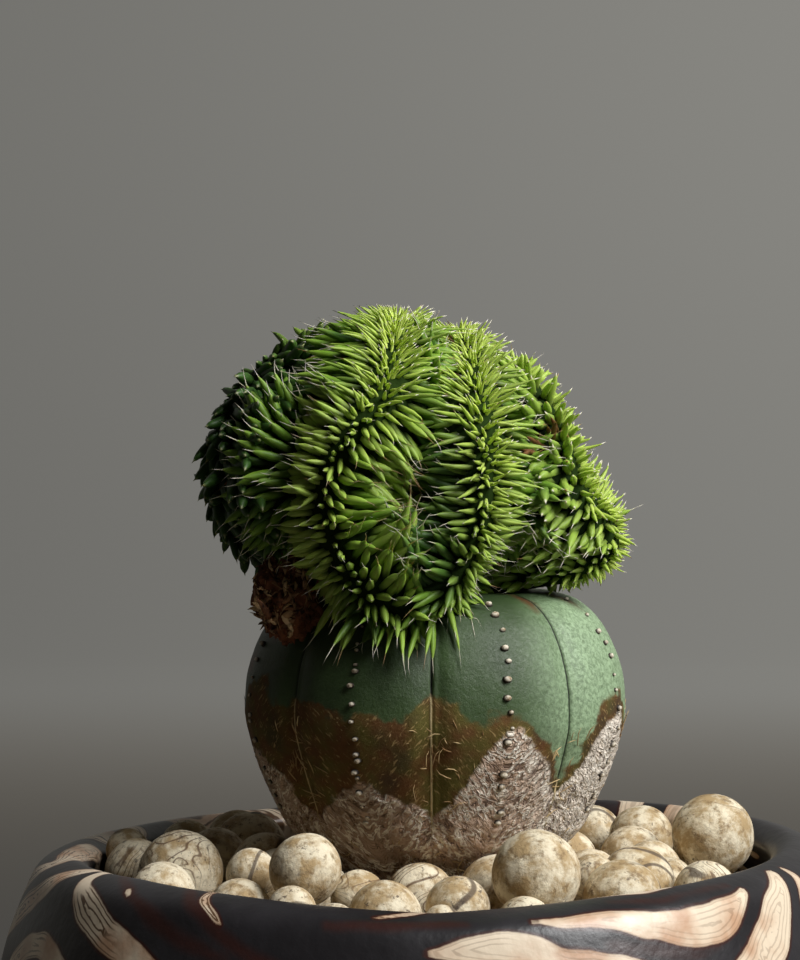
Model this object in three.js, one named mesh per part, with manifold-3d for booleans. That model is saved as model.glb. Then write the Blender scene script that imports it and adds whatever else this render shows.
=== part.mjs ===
// A crested Euphorbia susannae grafted on a round ribbed rootstock, planted in a low bowl of
// marbled clay and topped with round clay balls. Millimetres, +Z up. The origin is the middle
// of the bowl's foot, on the surface that the bowl stands on, and -Y is the front.
import * as THREE from 'three';
import { mergeVertices } from 'three/addons/utils/BufferGeometryUtils.js';
import Module from 'manifold-3d';

const wasm = await Module();
wasm.setup();

// Gaps kept between pieces that touch
const SEAT_GAP = 0.3;
const BALL_GAP = 0.15;

// Bowl, a turned shape whose rim is uneven: it rises to the right and dips at the front. The
// wall's inside is given as [radius, height], from the floor up, and the rim's rises as
// [rise, angle from +X in degrees].
const BOWL = {
  bellyRadius: 83, bellyHeight: 33, rimHeight: 58, lipRadius: 70.4, innerLipRadius: 65.7,
  footRadius: 46, footWidth: 6.5, footRecess: 1.5, floorTop: 8.5,
  segments: 48,
  innerWall: [[44, 9], [54, 11.5], [65, 18], [72, 27], [74, 36], [71.5, 45], [66.8, 53]],
  rimRises: [
    [0.8, -180], [1.7, -160], [2.5, -138], [2, -118], [0.5, -90], [2.2, -66], [3.1, -45],
    [3.9, -12], [3.9, 12], [3.3, 42], [2, 85], [0.6, 120], [0.4, 150], [0.8, 180],
  ],
};

// Planting soil, and the grit bed that the clay balls lie in
const SOIL = { top: 43, rootRoom: 1.8, segments: 24 };
const BED = {
  top: 48, grainRadius: 5.6, grainRise: 4.5, grainCount: 36, innerRadius: 23, outerRadius: 60,
  segments: 24,
};

// Round ribbed rootstock: half-silhouette as [radius, height], taproot tip to cut top
const STOCK = {
  x: 1, ribs: 8, firstFurrow: -2, furrowDepth: 0.055, furrowWidth: 5.5, ribFlatness: 0.28,
  ribsFrom: 55, ribsFull: 74, scarRise: 0.55, scarsFrom: 62, tip: 14.5, top: 109.5,
  barkRise: 1.1, barkFull: 62, barkTop: 80, segmentsPerRib: 6, buriedRows: 4, shownRows: 17,
  buriedShare: 0.4,
  profile: [[4, 17], [8, 28], [12, 40], [16.5, 50], [22.4, 57.7], [28.3, 63.5], [32.2, 70.4],
    [35, 77], [37.2, 84], [37.5, 89], [36.8, 94.5], [35, 99.6], [32.2, 104.2], [28, 107.6],
    [23, 109.2]],
};

// Crested head: an ellipsoid of folded growing ridges and creases, covered in spiky tubercles.
// Lines are [azimuth, elevation] in degrees about the head's centre: azimuth 0 is the front,
// 90 is the right, elevation 90 is the top.
const HEAD = {
  centre: [-6, -5, 132], radii: [35.5, 34.5, 29.3], detail: 10,
  ridgeRise: 2.4, ridgeWidth: 6, creaseCut: 13, creaseWidth: 4.4,
  spikeAtRidge: 3, spikeOnFlank: 5.4, spikeLean: 2.6, underside: -68,
};
const RIDGES = [
  // the horseshoe at the front, its left arm, the loop below, and its right arm over the top
  [[168, 5], [172, 35], [178, 65], [-4, 70], [-5, 28], [-17, 11], [-24, -7], [-18, -33],
    [8, -47], [26, -36], [28, -6], [29, 28], [60, 62], [110, 66], [140, 38], [140, 5],
    [128, -25]],
  // the right lobe, from its low front tip over the top and down behind
  [[83, -30], [84, -14], [67, -4], [64, 8], [67, 32], [88, 40], [102, 15], [98, -15]],
  // the left lobe, folded back on itself
  [[-80, -32], [-86, -5], [-84, 22], [-86, 46], [-112, 60], [-140, 45], [-146, 12], [-140, -25]],
];
const CREASES = [
  [[-49, -40], [-40, -17], [-34, 8], [-37, 28], [-49, 46], [-80, 68], [-150, 68], [-165, 40],
    [-166, 5], [-158, -30]],
  [[2, -8], [9, 8], [14, 24], [31, 52], [75, 76], [150, 70], [160, 42], [154, 8], [146, -25]],
  [[49, -40], [42, -8], [46, 13], [57, 38], [84, 54], [112, 42], [121, 12], [112, -25]],
  [[-110, -35], [-113, -8], [-113, 16], [-114, 38]],
];
// Swellings and hollows of the whole head: [azimuth, elevation, width in degrees, rise in mm]
const SWELLS = [
  [80, -24, 18, 8], [6, -42, 22, 6], [92, 12, 20, -4], [72, 42, 24, -1], [-68, -40, 22, -3],
  [2, -8, 12, -6],
];

// Dry brown remains of old shoots, tucked under the head at the left of the graft
const REMAINS = { centre: [-28.5, -22.5, 107.5], radii: [10, 7, 9.5], flakes: 8, seed: 11 };

// Clay balls that show in the top layer: [x, y, centre height, radius]
const PLACED_BALLS = [
  [-47.3, -13.5, 56.5, 8.2], [-60.2, 11, 57, 4.4], [-40, 38, 54.8, 6.8], [-34.5, -42, 54, 5.9],
  [-24.6, -54.5, 56.4, 4.4], [-22.6, -43, 61.6, 6.6], [-33, -31, 59, 4.8],
  [-17, -58, 54, 4.3], [-13.2, -39, 55.8, 5.2], [-8.4, -51.5, 54.8, 6.5],
  [1.2, -60, 54.8, 3.6], [4.3, -48, 55.6, 5.8], [18.2, -45, 61, 8.1], [15.6, -57.4, 54.2, 5.2],
  [33.8, -42, 56, 7.4], [29.5, -29, 58, 4.4], [50.4, -27, 54.6, 6.2], [45.5, -9.5, 54, 5],
  [56, 6.5, 60.6, 8.3], [44.4, 32, 56.4, 6.9], [35.5, 45.5, 55.6, 6], [56, 23, 54, 4.4],
];
// The rest of the ring is filled by rule
const RINGS = { seed: 7, radii: [57.2, 43.5, 31.8], ballRadius: 6.9, spread: 0.9, step: 0.02 };

const rad = THREE.MathUtils.degToRad;
const clamp = THREE.MathUtils.clamp;
const smooth = THREE.MathUtils.smoothstep;

function seeded(seed) {
  let state = seed;
  return () => {
    state = (state * 16807) % 2147483647;
    return state / 2147483647;
  };
}

// Closed surfaces with shared corners, as solids and back
function merged(geometry) {
  for (const name of Object.keys(geometry.attributes)) {
    if (name !== 'position') geometry.deleteAttribute(name);
  }
  const joined = mergeVertices(geometry, 1e-4);
  const kept = [];
  const index = joined.index.array;
  for (let i = 0; i < index.length; i += 3) {
    const [a, b, c] = [index[i], index[i + 1], index[i + 2]];
    if (a !== b && b !== c && c !== a) kept.push(a, b, c);
  }
  joined.setIndex(kept);
  return joined;
}

function solidOf(geometry) {
  const joined = merged(geometry);
  return new wasm.Manifold(new wasm.Mesh({
    numProp: 3,
    vertProperties: new Float32Array(joined.attributes.position.array),
    triVerts: new Uint32Array(joined.index.array),
  }));
}

function geometryOf(solid) {
  const mesh = solid.getMesh();
  const geometry = new THREE.BufferGeometry();
  geometry.setAttribute('position', new THREE.BufferAttribute(mesh.vertProperties, 3));
  geometry.setIndex(new THREE.BufferAttribute(mesh.triVerts, 1));
  return geometry;
}

function largestPiece(solid) {
  return solid.decompose().sort((a, b) => b.volume() - a.volume())[0];
}

// A closed [radius, height] outline turned round the upright axis
function turned(points, segments) {
  const outline = points.map(([radius, height]) => new THREE.Vector2(radius, height));
  return new THREE.LatheGeometry(outline, segments).rotateX(Math.PI / 2);
}

// Height-to-radius lookup along an outline that rises all the way
function radiusAt(profile, height) {
  const last = profile.length - 1;
  if (height <= profile[0][1]) return profile[0][0];
  if (height >= profile[last][1]) return profile[last][0];
  const i = profile.findIndex(([, z]) => z > height);
  const [r0, z0] = profile[i - 1];
  const [r1, z1] = profile[i];
  return r0 + (r1 - r0) * (height - z0) / (z1 - z0);
}

// Bowl
function bowl() {
  const { bellyRadius, bellyHeight, rimHeight, lipRadius, footRadius, footRecess } = BOWL;
  const footInside = footRadius - BOWL.footWidth;
  const points = [
    [0, footRecess], [footInside - footRecess, footRecess], [footInside, 0],
    [footRadius, 0], [footRadius + 12, 3.8], [footRadius + 24, 12], [footRadius + 32.5, 22],
    [bellyRadius, bellyHeight], [bellyRadius - 1.2, bellyHeight + 9],
    [bellyRadius - 4.8, bellyHeight + 18.5], [lipRadius + 5, rimHeight - 1.7],
    [lipRadius, rimHeight], [lipRadius - 3, rimHeight - 0.8],
    [BOWL.innerLipRadius, rimHeight - 2.6],
    ...[...BOWL.innerWall].reverse(), [0, BOWL.floorTop],
  ];
  const geometry = turned(points, BOWL.segments);
  const at = geometry.attributes.position;
  for (let i = 0; i < at.count; i += 1) {
    const angle = Math.atan2(at.getY(i), at.getX(i)) / rad(1);
    const high = (at.getZ(i) / rimHeight) ** 4;
    at.setZ(i, at.getZ(i) + high * radiusAt(BOWL.rimRises, angle));
  }
  return merged(geometry);
}

// Rootstock
function stockRadius(height) {
  return radiusAt(STOCK.profile, height);
}

// Its outline: a few rows on the buried taproot, and close ones on the part that shows
function stockOutline() {
  const { profile, buriedShare, buriedRows, shownRows } = STOCK;
  const curve = new THREE.SplineCurve(profile.map(([r, z]) => new THREE.Vector2(r, z)));
  const shares = [];
  for (let i = 0; i < buriedRows; i += 1) shares.push(buriedShare * i / buriedRows);
  for (let i = 0; i <= shownRows; i += 1) {
    shares.push(buriedShare + (1 - buriedShare) * i / shownRows);
  }
  const points = shares.map((share) => curve.getPointAt(share)).map(({ x, y }) => [x, y]);
  return [[0, STOCK.tip], ...points, [0, STOCK.top]];
}

// How far the section turns in: most in a furrow's line, nothing on a rib
function furrow(angle) {
  const half = 180 / STOCK.ribs;
  const turn = THREE.MathUtils.radToDeg(angle) + 90 - STOCK.firstFurrow;
  const off = Math.abs(THREE.MathUtils.euclideanModulo(turn + half, 2 * half) - half);
  return Math.exp(-((off / STOCK.furrowWidth) ** 2)) + STOCK.ribFlatness * (1 - off / half);
}

function rootstock() {
  const { ribs, segmentsPerRib } = STOCK;
  const outline = stockOutline();
  const geometry = turned(outline, ribs * segmentsPerRib);
  const pitch = 2 * Math.PI / ribs;
  const start = rad(STOCK.firstFurrow) - Math.PI / 2;
  const random = seeded(3);
  const bark = Array.from({ length: 97 }, () => random() - 0.5);
  const at = geometry.attributes.position;
  for (let i = 0; i < at.count; i += 1) {
    const row = i % outline.length;
    const column = Math.floor(i / outline.length) % (ribs * segmentsPerRib);
    const [radius, height] = outline[row];
    // the columns of the net crowd towards the furrows
    const across = column / segmentsPerRib;
    const angle = start + pitch * (across - 0.075 * Math.sin(2 * Math.PI * across));
    const ribbed = smooth(height, STOCK.ribsFrom, STOCK.ribsFull);
    let grown = radius * (1 - STOCK.furrowDepth * ribbed * furrow(angle));
    // leaf scars: a row of low teeth down each rib
    const onRib = column % segmentsPerRib === segmentsPerRib / 2;
    if (onRib && row % 2 === 0 && height > STOCK.scarsFrom && height < STOCK.top - 2) {
      grown += STOCK.scarRise;
    }
    // wrinkled corky bark from the soil up
    if (height > SOIL.top && height < STOCK.barkTop) {
      const corky = 1 - smooth(height, STOCK.barkFull, STOCK.barkTop);
      grown += corky * STOCK.barkRise * bark[(column * 7 + row * 13) % bark.length];
    }
    at.setXYZ(i, STOCK.x + grown * Math.cos(angle), grown * Math.sin(angle), height);
  }
  return merged(geometry);
}

// The rootstock without its furrows and a little larger, to seat the others round it
function stockRoom(gap) {
  const outline = stockOutline();
  const spare = gap + STOCK.scarRise;
  const grown = outline.slice(1, -1).map(([radius, height]) => [radius + spare, height]);
  const low = [0, STOCK.tip - gap];
  const high = [0, STOCK.top + gap];
  const shoulder = [STOCK.profile.at(-1)[0] + spare, STOCK.top + gap];
  return turned([low, ...grown, shoulder, high], 32).translate(STOCK.x, 0, 0);
}

// Soil, filling the bowl below the balls
function soil() {
  const wall = BOWL.innerWall.filter(([, height]) => height < SOIL.top);
  const rootRoom = STOCK.profile.filter(([, height]) => height < SOIL.top);
  const hole = rootRoom.map(([radius, height]) => [radius + SOIL.rootRoom, height - SEAT_GAP]);
  const floor = BOWL.floorTop + SEAT_GAP;
  const points = [
    [0, floor],
    ...wall.map(([radius, height]) => [radius - 0.5, height + SEAT_GAP]),
    [radiusAt(BOWL.innerWall, SOIL.top) - 0.5, SOIL.top],
    [stockRadius(SOIL.top) + SOIL.rootRoom, SOIL.top], ...hole.reverse(),
    [0, STOCK.tip - SOIL.rootRoom],
  ];
  return merged(turned(points, SOIL.segments));
}

// Clay balls of the top layer: the placed ones, then a filled ring round the stock
function clearsStock([x, y, z, r]) {
  const reach = Math.hypot(x - STOCK.x, y);
  return [-0.7, -0.35, 0, 0.35, 0.7].every((up) => {
    const height = z + up * r;
    return reach - r * Math.sqrt(1 - up * up) > stockRadius(height) + 1;
  });
}

function topBalls() {
  const balls = [...PLACED_BALLS];
  const random = seeded(RINGS.seed);
  for (const ring of RINGS.radii) {
    let angle = random();
    const end = angle + 2 * Math.PI;
    while (angle < end) {
      const r = RINGS.ballRadius + (2 * random() - 1) * RINGS.spread;
      const reach = Math.min(ring, BOWL.innerLipRadius - SEAT_GAP - r);
      const ball = [
        reach * Math.cos(angle), reach * Math.sin(angle), BED.top + BALL_GAP + r, r];
      const apart = balls.every((other) => {
        const away = Math.hypot(other[0] - ball[0], other[1] - ball[1], other[2] - ball[2]);
        return away > other[3] + r + BALL_GAP;
      });
      if (apart && clearsStock(ball)) {
        balls.push(ball);
        angle += 1.9 * r / reach;
      } else {
        angle += RINGS.step;
      }
    }
  }
  return balls;
}

function clayBall([, , , r], turn) {
  return merged(new THREE.IcosahedronGeometry(r, 1).rotateZ(turn));
}

// Grit bed: a slab of fine grit with grains that carry the balls and fill between them
function gritBed(balls) {
  const low = SOIL.top + SEAT_GAP;
  const outer = (height) => radiusAt(BOWL.innerWall, height) - 0.6;
  const inner = (height) => stockRadius(height) + 1.3;
  const points = [
    [inner(low), low], [outer(low), low], [outer(BED.top), BED.top], [inner(BED.top), BED.top],
  ];
  let bed = solidOf(turned([...points, points[0]], BED.segments));
  // a flat-topped twenty-faced grain, whose highest edge is at this share of its radius
  const edgeHeight = 0.8507;
  const addGrain = (x, y, top, radius = BED.grainRadius) => {
    const grain = new THREE.IcosahedronGeometry(radius, 0);
    bed = bed.add(solidOf(grain.translate(x, y, top - radius * edgeHeight)));
  };
  for (const [x, y, z, r] of balls) {
    const under = z - r - BALL_GAP;
    if (under > BED.top + 0.2) addGrain(x, y, under);
  }
  const golden = rad(137.5); // turns each grain well away from the last
  for (let i = 0; i < BED.grainCount; i += 1) {
    const share = (i + 0.5) / BED.grainCount;
    const reach = Math.sqrt(BED.innerRadius ** 2
      + share * (BED.outerRadius ** 2 - BED.innerRadius ** 2));
    const [x, y] = [reach * Math.cos(i * golden), reach * Math.sin(i * golden)];
    let top = BED.top + BED.grainRise;
    for (const [bx, by, bz, br] of balls) {
      const room = br + BED.grainRadius + BALL_GAP;
      const across = Math.hypot(bx - x, by - y);
      if (across < room) {
        const centre = bz - Math.sqrt(room ** 2 - across ** 2);
        top = Math.min(top, centre + BED.grainRadius * edgeHeight);
      }
    }
    if (top > BED.top + 1.2) addGrain(x, y, top);
  }
  const below = turned([[0, 0], [BOWL.bellyRadius, 0], [BOWL.bellyRadius, low], [0, low]], 8);
  const trimmed = bed.subtract(solidOf(stockRoom(SEAT_GAP))).subtract(solidOf(below));
  return geometryOf(largestPiece(trimmed));
}

// Crested head
function direction(azimuth, elevation) {
  const flat = Math.cos(rad(elevation));
  return new THREE.Vector3(
    flat * Math.sin(rad(azimuth)), -flat * Math.cos(rad(azimuth)), Math.sin(rad(elevation)));
}

function lineOnHead(points) {
  const curve = new THREE.CatmullRomCurve3(points.map(([az, el]) => direction(az, el)));
  return curve.getSpacedPoints(points.length * 6).map((point) => point.normalize());
}

const ridgePoints = RIDGES.flatMap(lineOnHead);
const creasePoints = CREASES.flatMap(lineOnHead);
const underside = Array.from({ length: 36 }, (_, i) => direction(i * 10, HEAD.underside));
const lowPoints = [...creasePoints, ...underside];
const swells = SWELLS.map(([az, el, width, rise]) => ({ at: direction(az, el), width, rise }));

function nearest(points, u) {
  let best = points[0];
  for (const point of points) {
    if (point.dot(u) > best.dot(u)) best = point;
  }
  const scale = (HEAD.radii[0] + HEAD.radii[2]) / 2;
  return { point: best, distance: Math.acos(clamp(best.dot(u), -1, 1)) * scale };
}

// Distance from the head's centre to the skin that the tubercles stand on
function headRadius(u) {
  const [a, b, c] = HEAD.radii;
  const plain = 1 / Math.hypot(u.x / a, u.y / b, u.z / c);
  const ridge = nearest(ridgePoints, u).distance / HEAD.ridgeWidth;
  const crease = nearest(creasePoints, u).distance / HEAD.creaseWidth;
  let radius = plain + HEAD.ridgeRise * Math.exp(-(ridge ** 2));
  radius -= HEAD.creaseCut * Math.exp(-crease);
  for (const { at, width, rise } of swells) {
    const away = THREE.MathUtils.radToDeg(at.angleTo(u)) / width;
    radius += rise * Math.exp(-(away ** 2));
  }
  return radius;
}

function spikeHeight(u) {
  const ridge = nearest(ridgePoints, u).distance;
  const crease = nearest(creasePoints, u).distance;
  const grown = HEAD.spikeOnFlank - HEAD.spikeAtRidge;
  const low = smooth(-u.z, 0.4, 0.7);
  return (HEAD.spikeAtRidge + grown * smooth(ridge, 2, 9) + 2 * low)
    * (0.5 + 0.5 * smooth(crease, 0, 7));
}

// Tubercles lean off their ridge towards the next crease, or the head's underside, and stand
// straight on the ridge and in the crease
function spikeTip(u) {
  const low = nearest(lowPoints, u);
  const ridge = nearest(ridgePoints, u).distance;
  const tall = headRadius(u) + spikeHeight(u);
  const towards = low.point.clone().addScaledVector(u, -u.dot(low.point)).normalize();
  const lean = HEAD.spikeLean * smooth(ridge, 0, 6) * smooth(low.distance, 2, 9);
  return u.clone().addScaledVector(towards, lean / tall).normalize().multiplyScalar(tall);
}

function crest() {
  const sphere = merged(new THREE.IcosahedronGeometry(1, HEAD.detail));
  const centre = new THREE.Vector3(...HEAD.centre);
  const at = sphere.attributes.position;
  const index = sphere.index.array;
  const skin = [];
  for (let i = 0; i < at.count; i += 1) {
    const u = new THREE.Vector3().fromBufferAttribute(at, i).normalize();
    skin.push(u.clone().multiplyScalar(headRadius(u)));
  }
  const corners = [...skin];
  const faces = [];
  for (let i = 0; i < index.length; i += 3) {
    const [a, b, c] = [index[i], index[i + 1], index[i + 2]];
    const u = new THREE.Vector3().add(skin[a]).add(skin[b]).add(skin[c]).normalize();
    const seat = u.clone().multiplyScalar(headRadius(u)).add(centre);
    const overStock = Math.hypot(seat.x - STOCK.x, seat.y) < stockRadius(seat.z) + 1;
    if (overStock && seat.z < STOCK.top + 3) {
      faces.push(a, b, c);
    } else {
      corners.push(spikeTip(u));
      const tip = corners.length - 1;
      faces.push(a, b, tip, b, c, tip, c, a, tip);
    }
  }
  const geometry = new THREE.BufferGeometry().setFromPoints(corners);
  geometry.setIndex(faces);
  geometry.translate(...HEAD.centre);
  return geometryOf(largestPiece(
    solidOf(geometry).subtract(solidOf(stockRoom(SEAT_GAP))).subtract(remainsRoom(SEAT_GAP))));
}

// Dead remains
function remainsRoom(gap) {
  const [a, b, c] = REMAINS.radii.map((radius) => radius + gap);
  return solidOf(new THREE.IcosahedronGeometry(1, 2).scale(a, b, c).translate(...REMAINS.centre));
}

// A dry flake: a thin curled spindle
function flake(length, width) {
  const outline = [[0, 0], [width * 0.5, length * 0.25], [width * 0.42, length * 0.6],
    [width * 0.2, length * 0.85], [0, length]];
  const geometry = turned(outline, 5).scale(1, 0.45, 1);
  const at = geometry.attributes.position;
  for (let i = 0; i < at.count; i += 1) {
    const up = at.getZ(i) / length;
    at.setY(i, at.getY(i) + 0.35 * length * up * up);
  }
  return geometry;
}

function deadRemains() {
  const random = seeded(REMAINS.seed);
  const lump = new THREE.IcosahedronGeometry(1, 1).scale(6, 4.4, 5.8);
  let clump = solidOf(lump.translate(...REMAINS.centre));
  for (let i = 0; i < REMAINS.flakes; i += 1) {
    const piece = flake(9 + 3 * random(), 3 + 1.4 * random());
    piece.rotateX(rad(-60 + 150 * random()));
    piece.rotateZ(rad(-100 + 200 * (i / REMAINS.flakes)));
    piece.translate(REMAINS.centre[0], REMAINS.centre[1], REMAINS.centre[2]);
    clump = clump.add(solidOf(piece));
  }
  const inRoom = clump.intersect(remainsRoom(0)).subtract(solidOf(stockRoom(SEAT_GAP)));
  return geometryOf(largestPiece(inRoom));
}

// Assembly
const finish = {
  bowl: { color: 0x1d1a1b, roughness: 0.45 },
  soil: { color: 0x3b2a1c, roughness: 0.95 },
  grit: { color: 0x6f5a40, roughness: 0.95 },
  clayBall: { color: 0xd8cbb0, roughness: 0.8 },
  stock: { color: 0x6f8a66, roughness: 0.6 },
  crest: { color: 0x6f8a34, roughness: 0.6 },
  remains: { color: 0x5a3d26, roughness: 0.9 },
};
const materials = Object.fromEntries(Object.entries(finish).map(
  ([name, values]) => [name, new THREE.MeshStandardMaterial({ ...values, metalness: 0 })]));

const plant = new THREE.Group();
function place(name, geometry, material) {
  const mesh = new THREE.Mesh(geometry, material);
  mesh.name = name;
  plant.add(mesh);
  return mesh;
}

const balls = topBalls();
place('bowl', bowl(), materials.bowl);
place('soil', soil(), materials.soil);
place('grit_bed', gritBed(balls), materials.grit);
balls.forEach((ball, i) => {
  const mesh = place(
    `clay_ball_${String(i + 1).padStart(2, '0')}`, clayBall(ball, i * 0.7), materials.clayBall);
  mesh.position.set(ball[0], ball[1], ball[2]);
});
place('rootstock', rootstock(), materials.stock);
place('crest', crest(), materials.crest);
place('dead_remains', deadRemains(), materials.remains);

export default plant;
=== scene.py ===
"""A crested euphorbia grafted on a ribbed rootstock, in a marbled clay bowl topped with clay balls.

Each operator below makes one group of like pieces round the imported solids. Blender works in
metres; the plant's own sizes are written in millimetres and multiplied by MM.
"""
import math
import random

import bpy
import numpy as np
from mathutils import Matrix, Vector, noise


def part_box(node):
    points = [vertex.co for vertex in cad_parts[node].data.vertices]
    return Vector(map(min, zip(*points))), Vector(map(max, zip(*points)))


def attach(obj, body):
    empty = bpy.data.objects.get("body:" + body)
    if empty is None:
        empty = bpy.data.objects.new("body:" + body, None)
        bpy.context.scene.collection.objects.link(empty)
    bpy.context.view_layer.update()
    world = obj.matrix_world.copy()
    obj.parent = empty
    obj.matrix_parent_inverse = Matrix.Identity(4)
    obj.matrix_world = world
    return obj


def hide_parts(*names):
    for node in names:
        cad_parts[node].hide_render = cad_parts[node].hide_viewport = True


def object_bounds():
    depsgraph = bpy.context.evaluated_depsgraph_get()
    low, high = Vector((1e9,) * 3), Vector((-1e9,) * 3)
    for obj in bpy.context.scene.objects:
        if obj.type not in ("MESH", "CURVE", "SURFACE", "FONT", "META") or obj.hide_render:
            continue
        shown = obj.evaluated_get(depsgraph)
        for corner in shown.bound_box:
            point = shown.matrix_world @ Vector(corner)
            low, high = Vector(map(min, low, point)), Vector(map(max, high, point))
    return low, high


bl_info = {
    "name": "Potted crested euphorbia",
    "version": (1, 0, 0),
    "blender": (4, 5, 0),
    "location": "3D View > Sidebar > Plant",
    "description": "Models a grafted crested euphorbia and its bowl round the packed solids",
    "category": "Add Mesh",
}

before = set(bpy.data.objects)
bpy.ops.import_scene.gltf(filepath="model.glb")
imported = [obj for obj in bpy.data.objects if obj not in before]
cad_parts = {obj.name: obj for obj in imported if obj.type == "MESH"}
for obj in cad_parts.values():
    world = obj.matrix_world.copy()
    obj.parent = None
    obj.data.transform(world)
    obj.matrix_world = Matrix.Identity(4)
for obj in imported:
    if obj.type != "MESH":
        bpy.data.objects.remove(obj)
CAD_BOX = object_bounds()
MM = 0.001
DEGREES_IN_RADIAN = 57.3
GOLDEN_TURN = math.pi * (3 - math.sqrt(5))

# Bowl outlines as [radius, height], outside from the foot to the lip, then inside to the floor
BOWL_FOOT = [[0, 1.5], [38, 1.5], [39.5, 0], [46, 0]]
BOWL_WALL = [
    [46, 0], [58, 3.8], [70, 12], [78.5, 22], [83, 33], [81.8, 42], [78.2, 51.5], [75.4, 56.3],
    [70.4, 58], [67.4, 57.2], [65.7, 55.4], [66.8, 53], [71.5, 45], [74, 36], [72, 27], [65, 18],
    [54, 11.5], [44, 9],
]
BOWL_FLOOR = 8.5
BOWL_LIP = 58
BOWL_REACH = 83
# How far the lip rises above that, as [rise, degrees from +X]
LIP_RISES = [
    [0.8, -180], [1.7, -160], [2.5, -138], [2, -118], [0.5, -90], [2.2, -66], [3.1, -45],
    [3.9, -12], [3.9, 12], [3.3, 42], [2, 85], [0.6, 120], [0.4, 150], [0.8, 180],
]
# Bands of pale clay round the front, as [degrees from the front, mm below the lip, half width];
# the degrees are turned into mm at BAND_RADIUS
BAND_RADIUS = 80
PALE_BANDS = [
    [[-98, -3, 2.8], [-84, -1, 3.0], [-76, 1.6, 2.8], [-77, 6, 2.6], [-84, 10, 2.6],
     [-96, 14, 2.4]],
    [[-58, -5, 1.2], [-60, -1, 1.6], [-64, 4.2, 2.0], [-70, 10, 2.5], [-81, 17, 2.8],
     [-99, 25, 3.0]],
    [[-55, -5, 0.8], [-57, 0, 1.5], [-56, 5.2, 2.1], [-51.5, 9.6, 2.6], [-44, 13.2, 2.7],
     [-34, 18, 2.6], [-24, 24, 2.6]],
    [[-76, 34, 2.6], [-71, 24, 2.6], [-66, 18.6, 2.6], [-60, 16.6, 2.4], [-54, 19.6, 2.6],
     [-48, 26, 2.6], [-44, 34, 2.6]],
    [[-25, -4, 0.8], [-30, -3, 0.9], [-33, 0, 0.8], [-32, 4, 1.0], [-28.5, 7.8, 0.5]],
    [[-8, 3, 0.5], [-4, 1, 0.8], [0, -1, 0.6]],
    [[19, -1, 0.7], [23, -1.6, 1.3], [27, -1.4, 1.2], [32, -0.6, 1.1], [36, -0.2, 0.5]],
    [[12, 5.6, 0.4], [19, 6.4, 1.3], [27, 7.8, 2.3], [34, 9.2, 3.1], [40, 8.6, 3.0],
     [45.5, 5.6, 1.0]],
    [[-1, 10, 0.5], [5, 9.3, 2.6], [10, 10.4, 3.0], [16, 13, 3.0], [23, 15.8, 3.2], [32, 20, 3.2]],
    [[36, 23, 2.8], [43, 17.8, 3.6], [49, 12.6, 4.0], [53, 8, 3.0], [56, 3.6, 1.2]],
    [[60, 3, 0.6], [60, 8, 1.5], [57, 15, 1.5], [52, 22, 1.2]],
    [[-45.6, 4.6, 0.5], [-44.6, 5.4, 0.6]],
]
# Faint reddish streaks in the dark clay, written in the same way
RED_STREAKS = [
    [[-55, -3.5, 0.6], [-47, 3.5, 0.8], [-39.5, 7.5, 1.0], [-33.5, 10.7, 0.9], [-26, 13.6, 0.6]],
    [[-38, -1, 0.6], [-36, 2, 0.9], [-31.5, 6.8, 1.0], [-26, 10.6, 0.9], [-19, 14, 0.6]],
    [[-14, 6, 0.5], [-6, 5, 0.8], [4, 4.5, 0.6]],
    [[24, 2.4, 0.4], [33, 3.4, 0.5], [44, 3, 0.5]],
    [[22, 11, 0.7], [32, 13, 0.8], [38, 12.4, 0.6]],
]
# Where the photo stops showing the bowl: degrees from the front, mm below the lip, mm inside it
UNSEEN_ROUND = (94, 108)
UNSEEN_BELOW = (22, 30)
UNSEEN_INSIDE = (3, 8)

# Clay balls are this much out of round, and the small ones fill the bed in two layers of tries
BALL_LUMPS = 0.03
BALL_SHRINK = 0.025
BED_TOP = 48
BED_LAYERS = (47.5, 50.5)
BED_TRIES = 900
BED_INNER = 20
BED_SPREAD = 46
BED_WALL = 65.5
SMALLEST_BALL = 2
LARGEST_SMALL_BALL = 3.8
BALL_GAP = 0.3

# Rootstock: half-silhouette as [radius, height], and its ribs
STOCK_X = 1
STOCK_TIP = 14.5
STOCK_TOP = 109.5
STOCK_PROFILE = [
    [4, 17], [8, 28], [12, 40], [16.5, 50], [22.4, 57.7], [28.3, 63.5], [32.2, 70.4], [35, 77],
    [37.2, 84], [37.5, 89], [36.8, 94.5], [35, 99.6], [32.2, 104.2], [28, 107.6], [23, 109.2],
]
# Brown patches at the shoulder: the first two are rusty stains, the last two darken its left side.
# Each is degrees from +X, height and reach
STAINS = [[-50, 108, 3.6], [-24, 108.5, 5], [-152, 103, 6], [-166, 96, 5]]
RIBS = 8
HALF_RIB = 180 / RIBS
RIBBED_BETWEEN = (55, 74)
RIB_CROWDING = 0.12
RIB_STEPS = 56
FIRST_FURROW = -2
FURROW_DEPTH = 0.026
FURROW_LINE = 0.24
FURROW_WIDTH = 4
RIB_FLATNESS = 0.7
# Where the green skin ends and where the cork begins, as [angle from +X, height, height]
SKIN_EDGES = [
    [-182, 86, 78], [-159.5, 92, 82], [-137, 90, 70], [-114.5, 86, 78], [-92, 91, 70],
    [-69.5, 89, 87], [-47, 79, 76], [-24.5, 92, 89], [-2, 82, 76], [20.5, 88, 84],
    [43, 80, 72], [65.5, 90, 85], [88, 84, 72], [110.5, 87, 82], [133, 80, 73], [155.5, 89, 84],
]

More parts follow.
